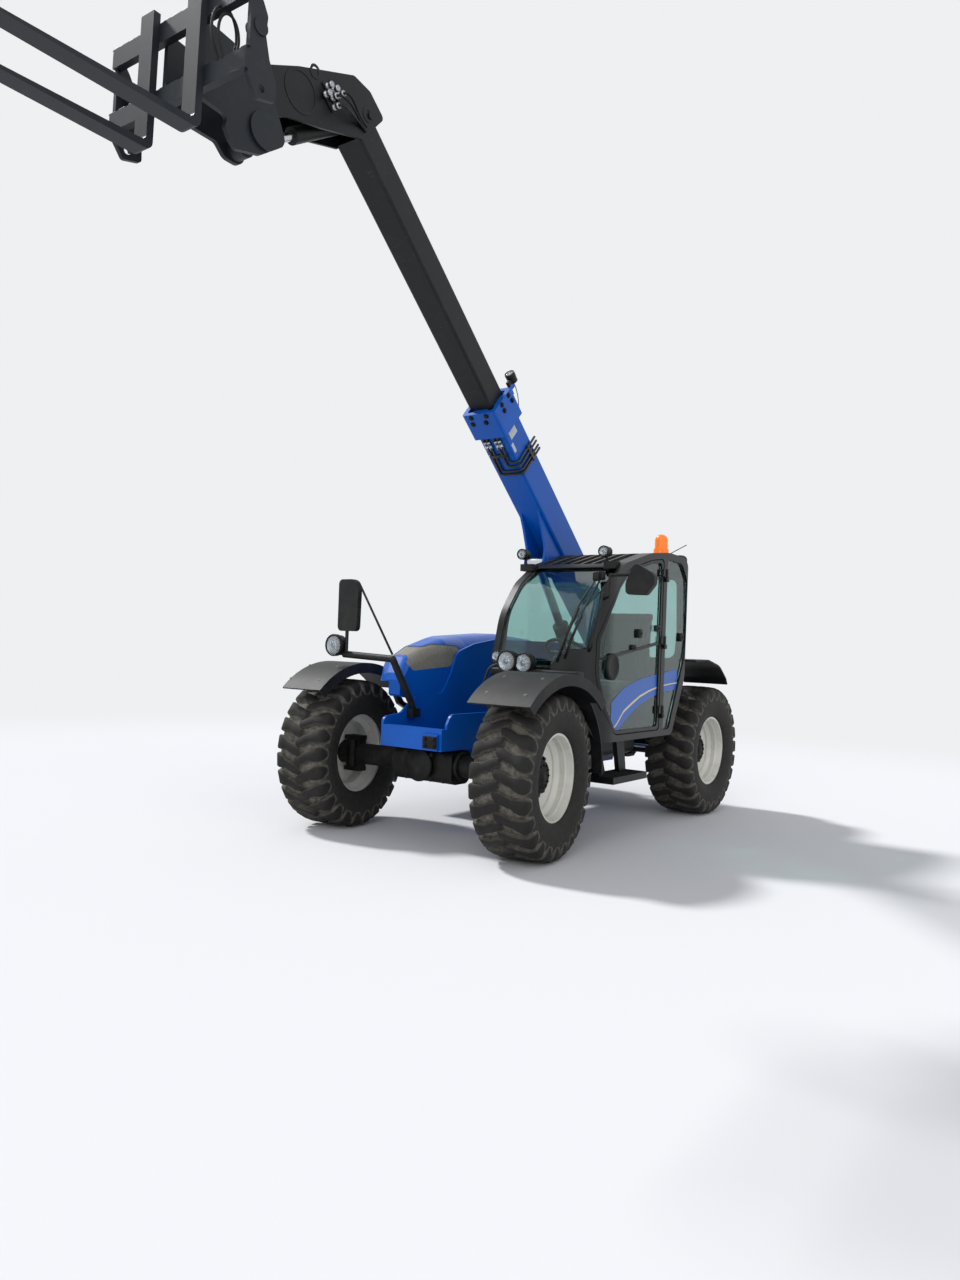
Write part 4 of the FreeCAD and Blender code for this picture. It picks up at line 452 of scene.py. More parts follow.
RUBBER, tree = blank_material("dusty_tyre_rubber")
dust_layer = add(tree, "ShaderNodeAttribute", attribute_name="dust")
mottle = patches(tree, 26.0, detail=8.0, roughness=0.7, low=0.22, high=0.66)
amount = add(tree, "ShaderNodeMath", {0: dust_layer.outputs["Fac"], 1: mottle}, operation="MULTIPLY")
amount = add(tree, "ShaderNodeMath", {0: amount.outputs[0], 1: 0.62}, operation="MULTIPLY")
haze = patches(tree, 3.0, low=0.3, high=0.8)
shade = blend_colours(tree, haze, linear("#0b0b0c"), linear("#171615"))
shade = blend_colours(tree, amount.outputs[0], shade, linear("#8b877c"))
place = add(tree, "ShaderNodeTexCoord")
grain = add(tree, "ShaderNodeTexNoise", {"Vector": place.outputs["Object"], "Scale": 220.0, "Detail": 4.0})
bump = add(tree, "ShaderNodeBump", {"Height": grain.outputs["Fac"], "Strength": 0.4, "Distance": 0.001})
shader = add(tree, "ShaderNodeBsdfPrincipled", {"Base Color": shade, "Roughness": 0.75, "Normal": bump.outputs[0],
                                                "Specular IOR Level": 0.3})
add(tree, "ShaderNodeOutputMaterial", {"Surface": shader.outputs[0]})

carcass = turned("carcass", [(a, r) for a, r, d in CARCASS], 100, [d for a, r, d in CARCASS])
carcass.materials.append(RUBBER)
outer_lugs = repeated(RING, lug_mesh(), Count=TYRE_LUGS, Turn=0.0, Finish=RUBBER)
half_pitch = math.pi / TYRE_LUGS
MIRROR_X = Matrix.Scale(-1, 4, Vector((1, 0, 0)))
tyre_mesh = joined("tyre", [(carcass, Matrix()), (outer_lugs, Matrix()),
                            (outer_lugs, Matrix.Rotation(half_pitch, 4, "X") @ MIRROR_X)])


def wheel_place(name):
    """Where a wheel stands, with its outer side along X."""
    side = 1 if name.endswith("left") else -1
    turn = FRONT_TURN if name.startswith("front") else 0.0
    axle = 0.0 if name.startswith("front") else WHEELBASE
    centre = Vector((CENTRELINE_X + side * (KINGPIN_HALF + WHEEL_OFFSET * math.cos(turn)),
                     FRONT_AXLE_Y + axle + side * WHEEL_OFFSET * math.sin(turn), AXLE_HEIGHT))
    return Matrix.Translation(centre) @ Matrix.Rotation(turn + (0 if side > 0 else math.pi), 4, "Z")


for i, name in enumerate(WHEELS):
    spin = Matrix.Rotation(0.05 + 0.07 * i, 4, "X")
    lugged = mesh_object("lugged_tyre_" + name, joined("lugged_tyre_" + name, [(tyre_mesh, wheel_place(name) @ spin)]))
    lugged.data.shade_smooth()
    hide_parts("tyre_" + name)
    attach(lugged, "wheel_" + name)

# ---------------------------------------------------------------------------------------------------------
# Hubs: black planetary covers in the rims, with a ring of wheel nuts and a ring of cover bolts.
HUB = [(0.0148, 0.158), (0.028, 0.158), (0.033, 0.148), (0.033, 0.126), (0.060, 0.121), (0.074, 0.112), (0.080, 0.098),
       (0.080, 0.042), (0.088, 0.036), (0.088, 0.0)]
WHEEL_NUTS = 10
COVER_BOLTS = 12


def bolt_mesh(radius, height):
    """A hexagon bolt head with a washer, standing on the YZ plane with its head along X."""
    points = []
    faces = []
    rings = [(0.0, radius * 1.45, 24), (height * 0.2, radius * 1.45, 24), (height * 0.2, radius, 6),
             (height * 0.9, radius, 6), (height, radius * 0.82, 6)]
    starts = []
    for along, reach, corners in rings:
        starts.append((len(points), corners))
        for i in range(corners):
            angle = 2 * math.pi * i / corners
            points.append((along, reach * math.cos(angle), reach * math.sin(angle)))
    for (a, n), (b, m) in zip(starts, starts[1:]):
        if n == m:
            for i in range(n):
                faces.append((a + i, a + (i + 1) % n, b + (i + 1) % n, b + i))
        else:
            for i in range(n):
                here = b + i * m // n
                there = b + (i + 1) % n * m // n
                faces.append((a + i, a + (i + 1) % n, there, here) if here != there else (a + i, a + (i + 1) % n, here))
    last, corners = starts[-1]
    faces.append(tuple(range(last, last + corners)))
    mesh = new_mesh("bolt", points, faces)
    mesh.shade_flat()
    return mesh


def bolt_ring(radius, height, circle, along, count):
    """Bolts on a circle round the X axis."""
    parts = []
    bolt = bolt_mesh(radius, height)
    for i in range(count):
        turn = Matrix.Rotation(2 * math.pi * i / count, 4, "X")
        parts.append((bolt, turn @ Matrix.Translation((along, 0, circle))))
    return parts


hub_cover = turned("hub_cover", HUB, 64)
hub_parts = ([(hub_cover, Matrix())] + bolt_ring(0.0145, 0.020, 0.142, 0.033, WHEEL_NUTS)
             + bolt_ring(0.008, 0.009, 0.084, 0.080, COVER_BOLTS))
for name in WHEELS:
    hub = mesh_object("hub_cover_" + name, joined("hub_cover_" + name, [(m, wheel_place(name) @ t) for m, t in hub_parts],
                                                  AXLE_BLACK))
    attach(hub, "wheel_" + name)

# ---------------------------------------------------------------------------------------------------------
# Lamps: a bezel, a bright reflector and a ribbed lens on each lamp housing; the beacon's clear dome stays.
MACHINE = Matrix.Translation((CENTRELINE_X, FRONT_AXLE_Y, 0))
FACING_FRONT = Matrix.Rotation(math.radians(-90), 4, "Z")
FACING_REAR = Matrix.Rotation(math.radians(90), 4, "Z")

REFLECTOR = bright_steel("lamp_reflector", "#aeb3b8", 0.16)
LENS, tree = blank_material("ribbed_lamp_lens")
place = add(tree, "ShaderNodeTexCoord")
ribs = add(tree, "ShaderNodeTexWave", {"Vector": place.outputs["Object"], "Scale": 55.0}, bands_direction="X")
bump = add(tree, "ShaderNodeBump", {"Height": ribs.outputs["Fac"], "Strength": 0.5, "Distance": 0.002})
shader = add(tree, "ShaderNodeBsdfPrincipled", {"Base Color": linear("#e6edf0"), "Roughness": 0.08, "IOR": 1.45,
                                                "Transmission Weight": 0.85, "Normal": bump.outputs[0]})
add(tree, "ShaderNodeOutputMaterial", {"Surface": shader.outputs[0]})
# name, body, place of the front face in the machine's frame, radius, which way it faces
LAMP_TABLE = [
    ("headlamp_inner", "chassis", (0.457, 0.325, 1.420), 0.080, FACING_FRONT),
    ("headlamp_outer", "chassis", (0.600, 0.350, 1.412), 0.074, FACING_FRONT),
    ("side_marker", "chassis", (0.335, 0.360, 1.455), 0.044, FACING_FRONT),
    ("mirror_lamp", "chassis", (-0.832, -0.270, 1.495), 0.082, FACING_FRONT),
    ("roof_lamp_left", "chassis", (0.958, 0.915, 2.325), 0.042, FACING_FRONT),
    ("roof_lamp_right", "chassis", (0.190, 0.895, 2.318), 0.042, FACING_FRONT),
    ("roof_lamp_rear", "chassis", (1.000, 2.335, 2.380), 0.042, FACING_REAR),
]


def lamp_parts(radius):
    """A lamp's bezel, reflector and lens, facing along X."""
    bezel = turned("bezel", [(-0.030, radius * 1.01), (-0.028, radius * 1.08), (0.008, radius * 1.10),
                             (0.016, radius * 1.05), (0.014, radius * 0.97), (0.006, radius * 0.90), (0.001, radius * 0.90)], 40)
    bezel.materials.append(PLASTIC)
    dish = turned("dish", [(0.0060, radius * 0.91), (0.0030, radius * 0.70), (0.0012, radius * 0.40), (0.001, radius * 0.24),
                           (0.009, radius * 0.22), (0.010, 0.0)], 40)
    dish.materials.append(REFLECTOR)
    lens = turned("lens", [(0.008, radius * 0.92), (0.013, radius * 0.75), (0.017, radius * 0.45), (0.018, 0.0)], 40)
    lens.materials.append(LENS)
    return [bezel, dish, lens]


for name, body, spot, radius, facing in LAMP_TABLE:
    lamp = mesh_object(name, joined(name, [(m, MACHINE @ Matrix.Translation(spot) @ facing) for m in lamp_parts(radius)]))
    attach(lamp, body)

BOOM_ANGLE = math.radians(41.7)
PIVOT = (0.0, 2.950, 1.430)
BOOM_FRAME = MACHINE @ Matrix.Translation(PIVOT) @ Matrix.Rotation(-BOOM_ANGLE, 4, "X")
lamp = mesh_object("boom_lamp", joined("boom_lamp", [
    (m, BOOM_FRAME @ Matrix.Translation((0.138, -3.262, 0.264)) @ FACING_FRONT) for m in lamp_parts(0.040)]))
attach(lamp, "boom")

# ---------------------------------------------------------------------------------------------------------
# Door stripe: a blue band with a thin cream line, printed on the lower glass of the door and the rear pane.
GLASS_OUT = 1.0818
CORNER_RADIUS = 0.4318
CORNER_X = 0.650
CORNER_Y = 0.910
# along the machine, band's lower edge, cream line's lower and upper edge, band's upper edge
STRIPE = [
    (0.900, 0.872, 0.880, 0.892, 1.120), (1.000, 0.875, 0.935, 0.952, 1.178), (1.111, 0.945, 1.030, 1.050, 1.233),
    (1.240, 1.020, 1.086, 1.106, 1.268), (1.391, 1.084, 1.146, 1.164, 1.300), (1.560, 1.132, 1.190, 1.205, 1.322),
    (1.712, 1.164, 1.219, 1.231, 1.338),
]
STRIPE_REAR = [(1.832, 1.180, 1.234, 1.245, 1.352), (1.980, 1.194, 1.248, 1.258, 1.370), (2.130, 1.205, 1.256, 1.266, 1.386)]


def printed_film(name, colour, roughness=0.35):
    """Printed vinyl, a little faded in patches."""
    material, tree = blank_material(name)
    faded = patches(tree, 9.0, low=0.35, high=0.8)
    shade = blend_colours(tree, faded, linear(colour), tuple(0.8 * c + 0.02 for c in linear(colour)[:3]) + (1.0,))
    shader = add(tree, "ShaderNodeBsdfPrincipled", {"Base Color": shade, "Roughness": roughness})
    add(tree, "ShaderNodeOutputMaterial", {"Surface": shader.outputs[0]})
    return material


FILM_BLUE = printed_film("blue_film", "#1d5db4")
FILM_CREAM = printed_film("cream_film", "#d8c99a")


def on_glass(y, z, lift):
    """A point just outside the cab's side glass."""
    if y >= CORNER_Y:
        return Vector((GLASS_OUT + lift, y, z))
    return Vector((CORNER_X + math.sqrt((CORNER_RADIUS + lift) ** 2 - (CORNER_Y - y) ** 2), y, z))


def film(name, rows, low, high, lift, finish):
    """A strip of film between two columns of a table."""
    points = []
    faces = []
    steps = 6
    for (a, b) in zip(rows, rows[1:]):
        for k in range(steps):
            t = k / steps
            points.append(tuple(p + (q - p) * t for p, q in zip(a, b)))
    points.append(rows[-1])
    places = []
    for row in points:
        places.append(MACHINE @ on_glass(row[0], row[low], lift))
        places.append(MACHINE @ on_glass(row[0], row[high], lift))
    for i in range(len(points) - 1):
        faces.append((2 * i, 2 * i + 2, 2 * i + 3, 2 * i + 1))
    mesh = bpy.data.meshes.new(name)
    mesh.from_pydata(places, [], faces)
    mesh.shade_smooth()
    return mesh_object(name, mesh, finish)


for rows, body, suffix in ((STRIPE, "door", "door"), (STRIPE_REAR, "chassis", "rear")):
    band = film("stripe_blue_" + suffix, rows, 1, 4, 0.0006, FILM_BLUE)
    line = film("stripe_cream_" + suffix, rows, 2, 3, 0.0010, FILM_CREAM)
    for piece in (band, line):
        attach(piece, body)

# ---------------------------------------------------------------------------------------------------------
# Rails, wipers, latches and the aerial on the cab: bent round bar and small moulded pieces.


def bent_bar(name, route, radius, corners=10, closed_ends=True):
    """A round bar along a route of points, with the same section turned at each bend."""
    points = []
    faces = []
    route = [Vector(p) for p in route]
    side = None
    for i, here in enumerate(route):
        back = route[max(i - 1, 0)]
        ahead = route[min(i + 1, len(route) - 1)]
        run = (ahead - back).normalized()
        if side is None:
            side = run.cross(Vector((0.3, 0.2, 1.0))).normalized()
        side = (side - run * side.dot(run)).normalized()
        across = run.cross(side)
        for k in range(corners):
            angle = 2 * math.pi * k / corners
            points.append(here + (side * math.cos(angle) + across * math.sin(angle)) * radius)
    for i in range(len(route) - 1):
        for k in range(corners):
            a = i * corners + k
            b = i * corners + (k + 1) % corners
            faces.append((a, b, b + corners, a + corners))
    if closed_ends:
        faces.append(tuple(range(corners)))
        faces.append(tuple(range(len(points) - 1, len(points) - 1 - corners, -1)))
    return new_mesh(name, points, faces)


def rounded_route(corners, radius, steps=5):
    """A route through corner points whose bends are arcs."""
    corners = [Vector(p) for p in corners]
    route = [corners[0]]
    for back, here, ahead in zip(corners, corners[1:], corners[2:]):
        first = (back - here).normalized()
        second = (ahead - here).normalized()
        reach = min(radius, 0.45 * (back - here).length, 0.45 * (ahead - here).length)
        for k in range(steps + 1):
            t = k / steps
            route.append(here + first * reach * (1 - t) ** 2 + second * reach * t ** 2)
    route.append(corners[-1])
    return route


def block_mesh(size, bevel):
    """A block about the origin with rounded edges."""
    shell = bmesh.new()
    bmesh.ops.create_cube(shell, size=1.0, matrix=Matrix.Diagonal((*size, 1.0)))
    bmesh.ops.bevel(shell, geom=shell.edges[:], offset=bevel, segments=3, profile=0.5, affect="EDGES")
    mesh = bpy.data.meshes.new("block")
    shell.to_mesh(mesh)
    shell.free()
    mesh.shade_smooth()
    return mesh


def piece(name, parts, finish, slot, body, frame_matrix=MACHINE):
    """Join meshes, each with its place in a frame, into one object that rides a body."""
    thing = mesh_object(name, joined(name, [(m, frame_matrix @ place) for m, place in parts], finish))
    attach(thing, body)
    return thing


# wiper arms from their spindle above the windscreen to the blade, then blades; places in the machine's frame
WIPERS = [
    ("wiper_long", [(0.985, 0.760, 2.110), (0.975, 0.735, 2.050), (0.930, 0.610, 1.900), (0.880, 0.500, 1.640)],
     [(0.930, 0.590, 1.850), (0.902, 0.522, 1.700), (0.862, 0.480, 1.560), (0.824, 0.466, 1.430)]),
    ("wiper_short", [(1.010, 0.800, 2.120), (1.002, 0.735, 2.020), (0.968, 0.590, 1.830), (0.930, 0.520, 1.640)],
     [(0.968, 0.580, 1.800), (0.930, 0.520, 1.640), (0.880, 0.490, 1.460)]),
]
for name, arm, blade in WIPERS:
    strip = [(x, y + 0.012, z) for x, y, z in blade]
    piece(name, [(bent_bar("arm", rounded_route(arm, 0.1), 0.007), Matrix()),
                 (bent_bar("blade", rounded_route(blade, 0.1), 0.009, 6), Matrix()),
                 (bent_bar("rubber", rounded_route(strip, 0.1), 0.006, 4), Matrix()),
                 (block_mesh((0.05, 0.05, 0.07), 0.012), Matrix.Translation(arm[0]))],
          PLASTIC, "plastic_black", "chassis")
# handrail on the front post, stay of the right mirror, aerial by the beacon
RAILS = [
    ("handrail_left", [(1.060, 0.735, 1.985), (1.082, 0.700, 1.975), (1.072, 0.660, 1.800), (1.046, 0.618, 1.560),
                       (1.010, 0.640, 1.520)], 0.010, PLASTIC),
    ("mirror_stay", [(-0.690, -0.200, 2.020), (-0.660, -0.190, 2.010), (-0.262, -0.205, 1.440)], 0.009, PLASTIC),
    ("aerial", [(0.930, 2.180, 2.390), (0.930, 2.185, 2.420), (1.040, 2.330, 2.520)], 0.004, PLASTIC),
]
for name, route, radius, finish in RAILS:
    piece(name, [(bent_bar("bar", rounded_route(route, 0.04), radius), Matrix())], finish, "plastic_black", "chassis")
# knobs and latches on the panes: body, place, size
LATCHES = [
    ("door", (1.331, 1.680), (0.030, 0.060, 0.075)), ("door", (1.237, 1.563), (0.026, 0.050, 0.045)),
    ("door", (1.664, 1.733), (0.034, 0.090, 0.055)), ("chassis", (2.160, 1.670), (0.030, 0.060, 0.075)),
]
for i, (body, (y, z), size) in enumerate(LATCHES):
    spot = on_glass(y, z, size[0] / 2 - 0.004)
    piece("pane_latch_%d" % (i + 1), [
        (block_mesh(size, 0.009), Matrix.Translation(spot)),
        (bolt_mesh(0.010, 0.010), Matrix.Translation(spot + Vector((size[0] / 2 - 0.001, 0, 0))))],
          PLASTIC, "plastic_black", body)

# ---------------------------------------------------------------------------------------------------------
# Ahead of the cab: the black shelf over the fender, the lamps' bent carrier and the front post's oval cover.
piece("front_shelf", [(block_mesh((0.800, 0.110, 0.062), 0.014), Matrix.Translation((0.672, 0.418, 1.334)))],
      PLASTIC, "plastic_black", "chassis")
piece("lamp_carrier", [(bent_bar("bar", rounded_route([(0.254, 0.300, 1.160), (0.262, 0.305, 1.250), (0.290, 0.330, 1.372),
                                                       (0.400, 0.360, 1.402), (0.520, 0.380, 1.400)], 0.06), 0.011), Matrix()),
                       (block_mesh((0.050, 0.060, 0.030), 0.006), Matrix.Translation((0.262, 0.318, 1.160)))],
      PLASTIC, "plastic_black", "chassis")
oval = turned("oval", [(-0.006, 0.086), (0.004, 0.086), (0.008, 0.080), (0.008, 0.066), (0.004, 0.060), (0.003, 0.0)], 48)
OVAL_Y = 0.872
OVAL_Z = 1.405
out_angle = math.atan2(OVAL_Y - CORNER_Y, on_glass(OVAL_Y, OVAL_Z, 0.0)[0] - CORNER_X)
piece("post_cover", [(oval, Matrix.Translation(on_glass(OVAL_Y, OVAL_Z, 0.0195)) @ Matrix.Rotation(out_angle, 4, "Z")
                      @ Matrix.Diagonal((1.0, 1.0, 1.25, 1.0)))], SOFT_BLACK, "plastic_black", "chassis")

# ---------------------------------------------------------------------------------------------------------
# Bolts: rings and rows of bolt heads on the plates that carry them.


def facing(normal):
    """A turn that takes X to a direction."""
    return Vector((1, 0, 0)).rotation_difference(Vector(normal)).to_matrix().to_4x4()


LEFT = (1, 0, 0)
FRONT = (0, -1, 0)
UNDER = (0, 0, -1)
# name, body, frame, finish, slot, head radius, height, which way they face, places
BOLT_ROWS = [
    ("collar_bolts_left", "boom", BOOM_FRAME, AXLE_BLACK, "paint_black", 0.016, 0.014, LEFT,
     [(0.165, -3.176, 0.090), (0.165, -3.114, 0.107), (0.165, -3.176, -0.042), (0.165, -3.121, -0.045)]),
    ("collar_bolts_under", "boom", BOOM_FRAME, AXLE_BLACK, "paint_black", 0.016, 0.014, UNDER,
     [(0.070, -3.170, -0.172), (0.040, -3.110, -0.172), (-0.082, -3.170, -0.172), (-0.094, -3.108, -0.172)]),
    ("nose_bolts", "chassis", MACHINE, AXLE_BLACK, "paint_black", 0.013, 0.012, FRONT,
     [(0.168, -0.300, 0.774), (0.252, -0.300, 0.774), (0.168, -0.300, 0.826), (0.252, -0.300, 0.826)]),
    ("axle_bolts_front", "chassis", MACHINE, AXLE_BLACK, "axle_black", 0.011, 0.010, FRONT,
     [(x, -0.150, z) for x in (-0.24, -0.12, 0.12, 0.24) for z in (0.50, 0.69)]),
    ("kingpin_bolts_left", "chassis", MACHINE, AXLE_BLACK, "axle_black", 0.010, 0.009, (0, 0, 1),
     [(KINGPIN_HALF + x, y, 0.828) for x in (-0.07, 0.02) for y in (-0.03, 0.03)]),
]
for name, body, place_in, finish, slot, radius, height, normal, places in BOLT_ROWS:
    head = bolt_mesh(radius, height)
    piece(name, [(head, Matrix.Translation(p) @ facing(normal)) for p in places], finish, slot, body, place_in)
# dull screws through the front fenders
SCREW_GREY = worn_paint("dull_zinc_screws", "#6d6f71", dust="#5d5a53", dust_amount=0.4, gloss=0.5)
FENDER_TOP = 0.7485
for side, xs in (("left", (0.82, 1.14)), ("right", (-0.82, -1.14))):
    head = bolt_mesh(0.008, 0.006)
    parts = []
    for x in xs:
        for tilt in (-36, -18):
            angle = math.radians(tilt)
            spot = Vector((x, FENDER_TOP * math.sin(angle), AXLE_HEIGHT + FENDER_TOP * math.cos(angle)))
            parts.append((head, Matrix.Translation(spot) @ facing((0, math.sin(angle), math.cos(angle)))))
    piece("fender_screws_" + side, parts, SCREW_GREY, "plastic_black", "chassis")

# ---------------------------------------------------------------------------------------------------------
# Pipes on the boom: four black hydraulic pipes over the left face and round the underside to their couplers.
PIPE_BLACK = worn_paint("black_enamelled_pipe", "#0b0c0e", dust="#5a5c5f", dust_amount=0.45, gloss=0.35)
PIPE_SIDE = 0.147
PIPE_UNDER = -0.157
# place along the boom on its left face, place across under the boom
PIPES = [(2.557, -0.082), (2.590, -0.046), (2.635, 0.026), (2.675, 0.062)]
pipe_parts = []
for along, across in PIPES:
    route = rounded_route([(PIPE_SIDE, -along, 0.195), (PIPE_SIDE, -along, PIPE_UNDER), (across, -along, PIPE_UNDER),
                           (across, -2.835, PIPE_UNDER)], 0.032)
    pipe_parts.append((bent_bar("pipe", route, 0.0105), Matrix()))
pipe_parts.append((block_mesh((0.020, 0.158, 0.026), 0.003), Matrix.Translation((0.149, -2.616, 0.048))))
pipe_parts.append((block_mesh((0.180, 0.026, 0.020), 0.003), Matrix.Translation((-0.010, -2.760, -0.158))))
piece("boom_pipes", pipe_parts, PIPE_BLACK, "paint_black", "boom", BOOM_FRAME)
COUPLER_PROFILE = [(-0.004, 0.0), (-0.004, 0.016), (0.012, 0.016), (0.012, 0.0190), (0.030, 0.0190), (0.030, 0.015),
                   (0.052, 0.015), (0.052, 0.0175), (0.078, 0.0175), (0.078, 0.010), (0.070, 0.006), (0.070, 0.0)]
coupler = turned("coupler", COUPLER_PROFILE, 20)
piece("boom_couplers", [(coupler, Matrix.Translation((across, -2.835, PIPE_UNDER)) @ FACING_FRONT)
                        for along, across in PIPES], ZINC, "chrome", "boom", BOOM_FRAME)
# elbows from the couplers into the boom's underside
elbow_parts = []
for along, across in PIPES:
    route = rounded_route([(across, -2.905, PIPE_UNDER), (across, -2.940, PIPE_UNDER - 0.004), (across, -2.942, -0.143)], 0.014)
    elbow_parts.append((bent_bar("elbow", route, 0.0125), Matrix()))
piece("boom_elbows", elbow_parts, PIPE_BLACK, "paint_black", "boom", BOOM_FRAME)
HOSE = moulded_plastic("black_rubber_hose", "#0d0d0e", dust_amount=0.35, roughness=0.6)


def hose(name, places, radius, body, frame_matrix, steps=8):
    """A rubber hose or cable on one smooth curve, fixed to the machine at both ends."""
    places = [Vector(p) for p in places]
    knots = [places[0]] * 2 + places + [places[-1]] * 2
    line = []
    for a, b, c, d in zip(knots, knots[1:], knots[2:], knots[3:]):
        for k in range(steps):
            t = k / steps
            line.append(a * ((1 - t) ** 3 / 6) + b * ((3 * t ** 3 - 6 * t ** 2 + 4) / 6)
                        + c * ((-3 * t ** 3 + 3 * t ** 2 + 3 * t + 1) / 6) + d * (t ** 3 / 6))
    line = [frame_matrix @ point for point in line + [places[-1]]]
    line = [line[0]] + [b for a, b in zip(line, line[1:]) if (b - a).length > 1e-5]
    thing = mesh_object(name, bent_bar(name, line, radius), HOSE)
    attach(thing, body)


# black cup and bracket of the boom's work lamp, and its cable
lamp_cup = turned("lamp_cup", [(-0.005, 0.0), (-0.005, 0.028), (0.004, 0.0415), (0.069, 0.0415)], 32)
piece("boom_lamp_cup", [
    (lamp_cup, Matrix.Translation((0.138, -3.190, 0.264)) @ FACING_FRONT),
    (block_mesh((0.028, 0.042, 0.052), 0.004), Matrix.Translation((0.138, -3.219, 0.204)))],
      PLASTIC, "plastic_black", "boom", BOOM_FRAME)
hose("boom_lamp_cable", [(0.138, -3.190, 0.264), (0.139, -3.165, 0.264), (0.142, -3.120, 0.255), (0.148, -3.060, 0.220),
                         (0.150, -3.020, 0.185), (0.150, -3.000, 0.165)], 0.0035, "boom", BOOM_FRAME)
# blank pale plates on the boom's left face: along, above, length, height
PLATE_WHITE = printed_film("white_plate_film", "#b9bec2")
for i, (along, above, length, height) in enumerate(((2.897, -0.030, 0.072, 0.120), (2.792, -0.108, 0.085, 0.036))):
    piece("boom_plate_%d" % (i + 1), [(block_mesh((0.0016, length, height), 0.0006),
                                       Matrix.Translation((0.1358, -along, above)))],
          PLATE_WHITE, "paint_blue", "boom", BOOM_FRAME)

# ---------------------------------------------------------------------------------------------------------
# Head services: hydraulic couplers with their hoses on the boom head's left plate, and hose loops at the
# carriage; rubber hoses with plated ends.
HEAD_FACE = 0.125
socket = turned("socket", [(0.0, 0.0), (0.0, 0.020), (0.016, 0.020), (0.016, 0.0165), (0.040, 0.0165), (0.040, 0.020),
                           (0.052, 0.020), (0.052, 0.008), (0.046, 0.0)], 20)
HEAD_COUPLERS = [(5.690, -0.150), (5.735, -0.178), (5.705, -0.222), (5.775, -0.215), (5.655, -0.250), (5.745, -0.268)]
tip_parts = [(socket, Matrix.Translation((HEAD_FACE + 0.010, -along, above))) for along, above in HEAD_COUPLERS]
piece("head_couplers", tip_parts, ZINC, "chrome", "boom_tip", BOOM_FRAME)
brackets = [(block_mesh((0.012, 0.150, 0.030), 0.003), Matrix.Translation((HEAD_FACE + 0.005, -5.715, -0.160))),
            (block_mesh((0.012, 0.180, 0.030), 0.003), Matrix.Translation((HEAD_FACE + 0.005, -5.720, -0.220))),
            (block_mesh((0.012, 0.130, 0.030), 0.003), Matrix.Translation((HEAD_FACE + 0.005, -5.700, -0.262)))]
piece("head_coupler_brackets", brackets, BOOM_BLACK, "paint_black", "boom_tip", BOOM_FRAME)
# hoses: out of the couplers, down to the plate and back to the inner boom
HEAD_HOSES = [
    ("head_hose_1", [(0.185, -5.690, -0.150), (0.205, -5.688, -0.148), (0.215, -5.660, -0.130), (0.190, -5.600, -0.095),
                     (0.150, -5.530, -0.060), (0.136, -5.470, -0.035), (0.134, -5.430, -0.020)]),
    ("head_hose_2", [(0.185, -5.655, -0.250), (0.205, -5.653, -0.248), (0.215, -5.620, -0.225), (0.190, -5.560, -0.165),
                     (0.150, -5.500, -0.100), (0.136, -5.445, -0.062), (0.134, -5.410, -0.045)]),
    ("head_hose_3", [(0.185, -5.705, -0.222), (0.208, -5.703, -0.220), (0.222, -5.665, -0.195), (0.200, -5.600, -0.140),
                     (0.160, -5.530, -0.090), (0.138, -5.470, -0.060), (0.134, -5.435, -0.048)]),
]
for name, places in HEAD_HOSES:
    hose(name, places, 0.008, "boom_tip", BOOM_FRAME)
CARRIAGE_FRAME = (MACHINE @ Matrix.Translation((0.0, -2.026, 4.8375)) @ Matrix.Rotation(math.radians(-1.66), 4, "X"))
# loops of hose that stand between the fork bars
for name, x, half_wide, half_high in (("carriage_hose_1", 0.385, 0.085, 0.125), ("carriage_hose_2", 0.425, 0.070, 0.100)):
    places = [(x, -0.492 + 0.030, -0.200), (x, -0.492 + 0.034, -0.175)]
    for degrees in range(-50, 231, 20):
        angle = math.radians(degrees)
        places.append((x, -0.492 + half_wide * math.cos(angle), -0.185 + half_high * (1.0 + math.sin(angle)) * 1.15 + 0.010))
    places += [(x, -0.492 - 0.034, -0.175), (x, -0.492 - 0.030, -0.200)]
    hose(name, places, 0.008, "carriage", CARRIAGE_FRAME)
# notches on the fork bars' upper edges, cut as on standard bars, shown as raised teeth between them
teeth = []
for top in (0.196, -0.197):
    for i in range(13):
        teeth.append((block_mesh((0.066, 0.020, 0.010), 0.002), Matrix.Translation((-0.60 + 0.1 * i, -0.512, top + 0.003))))
piece("bar_teeth", teeth, TOOL_GREY, "carriage_grey", "carriage", CARRIAGE_FRAME)
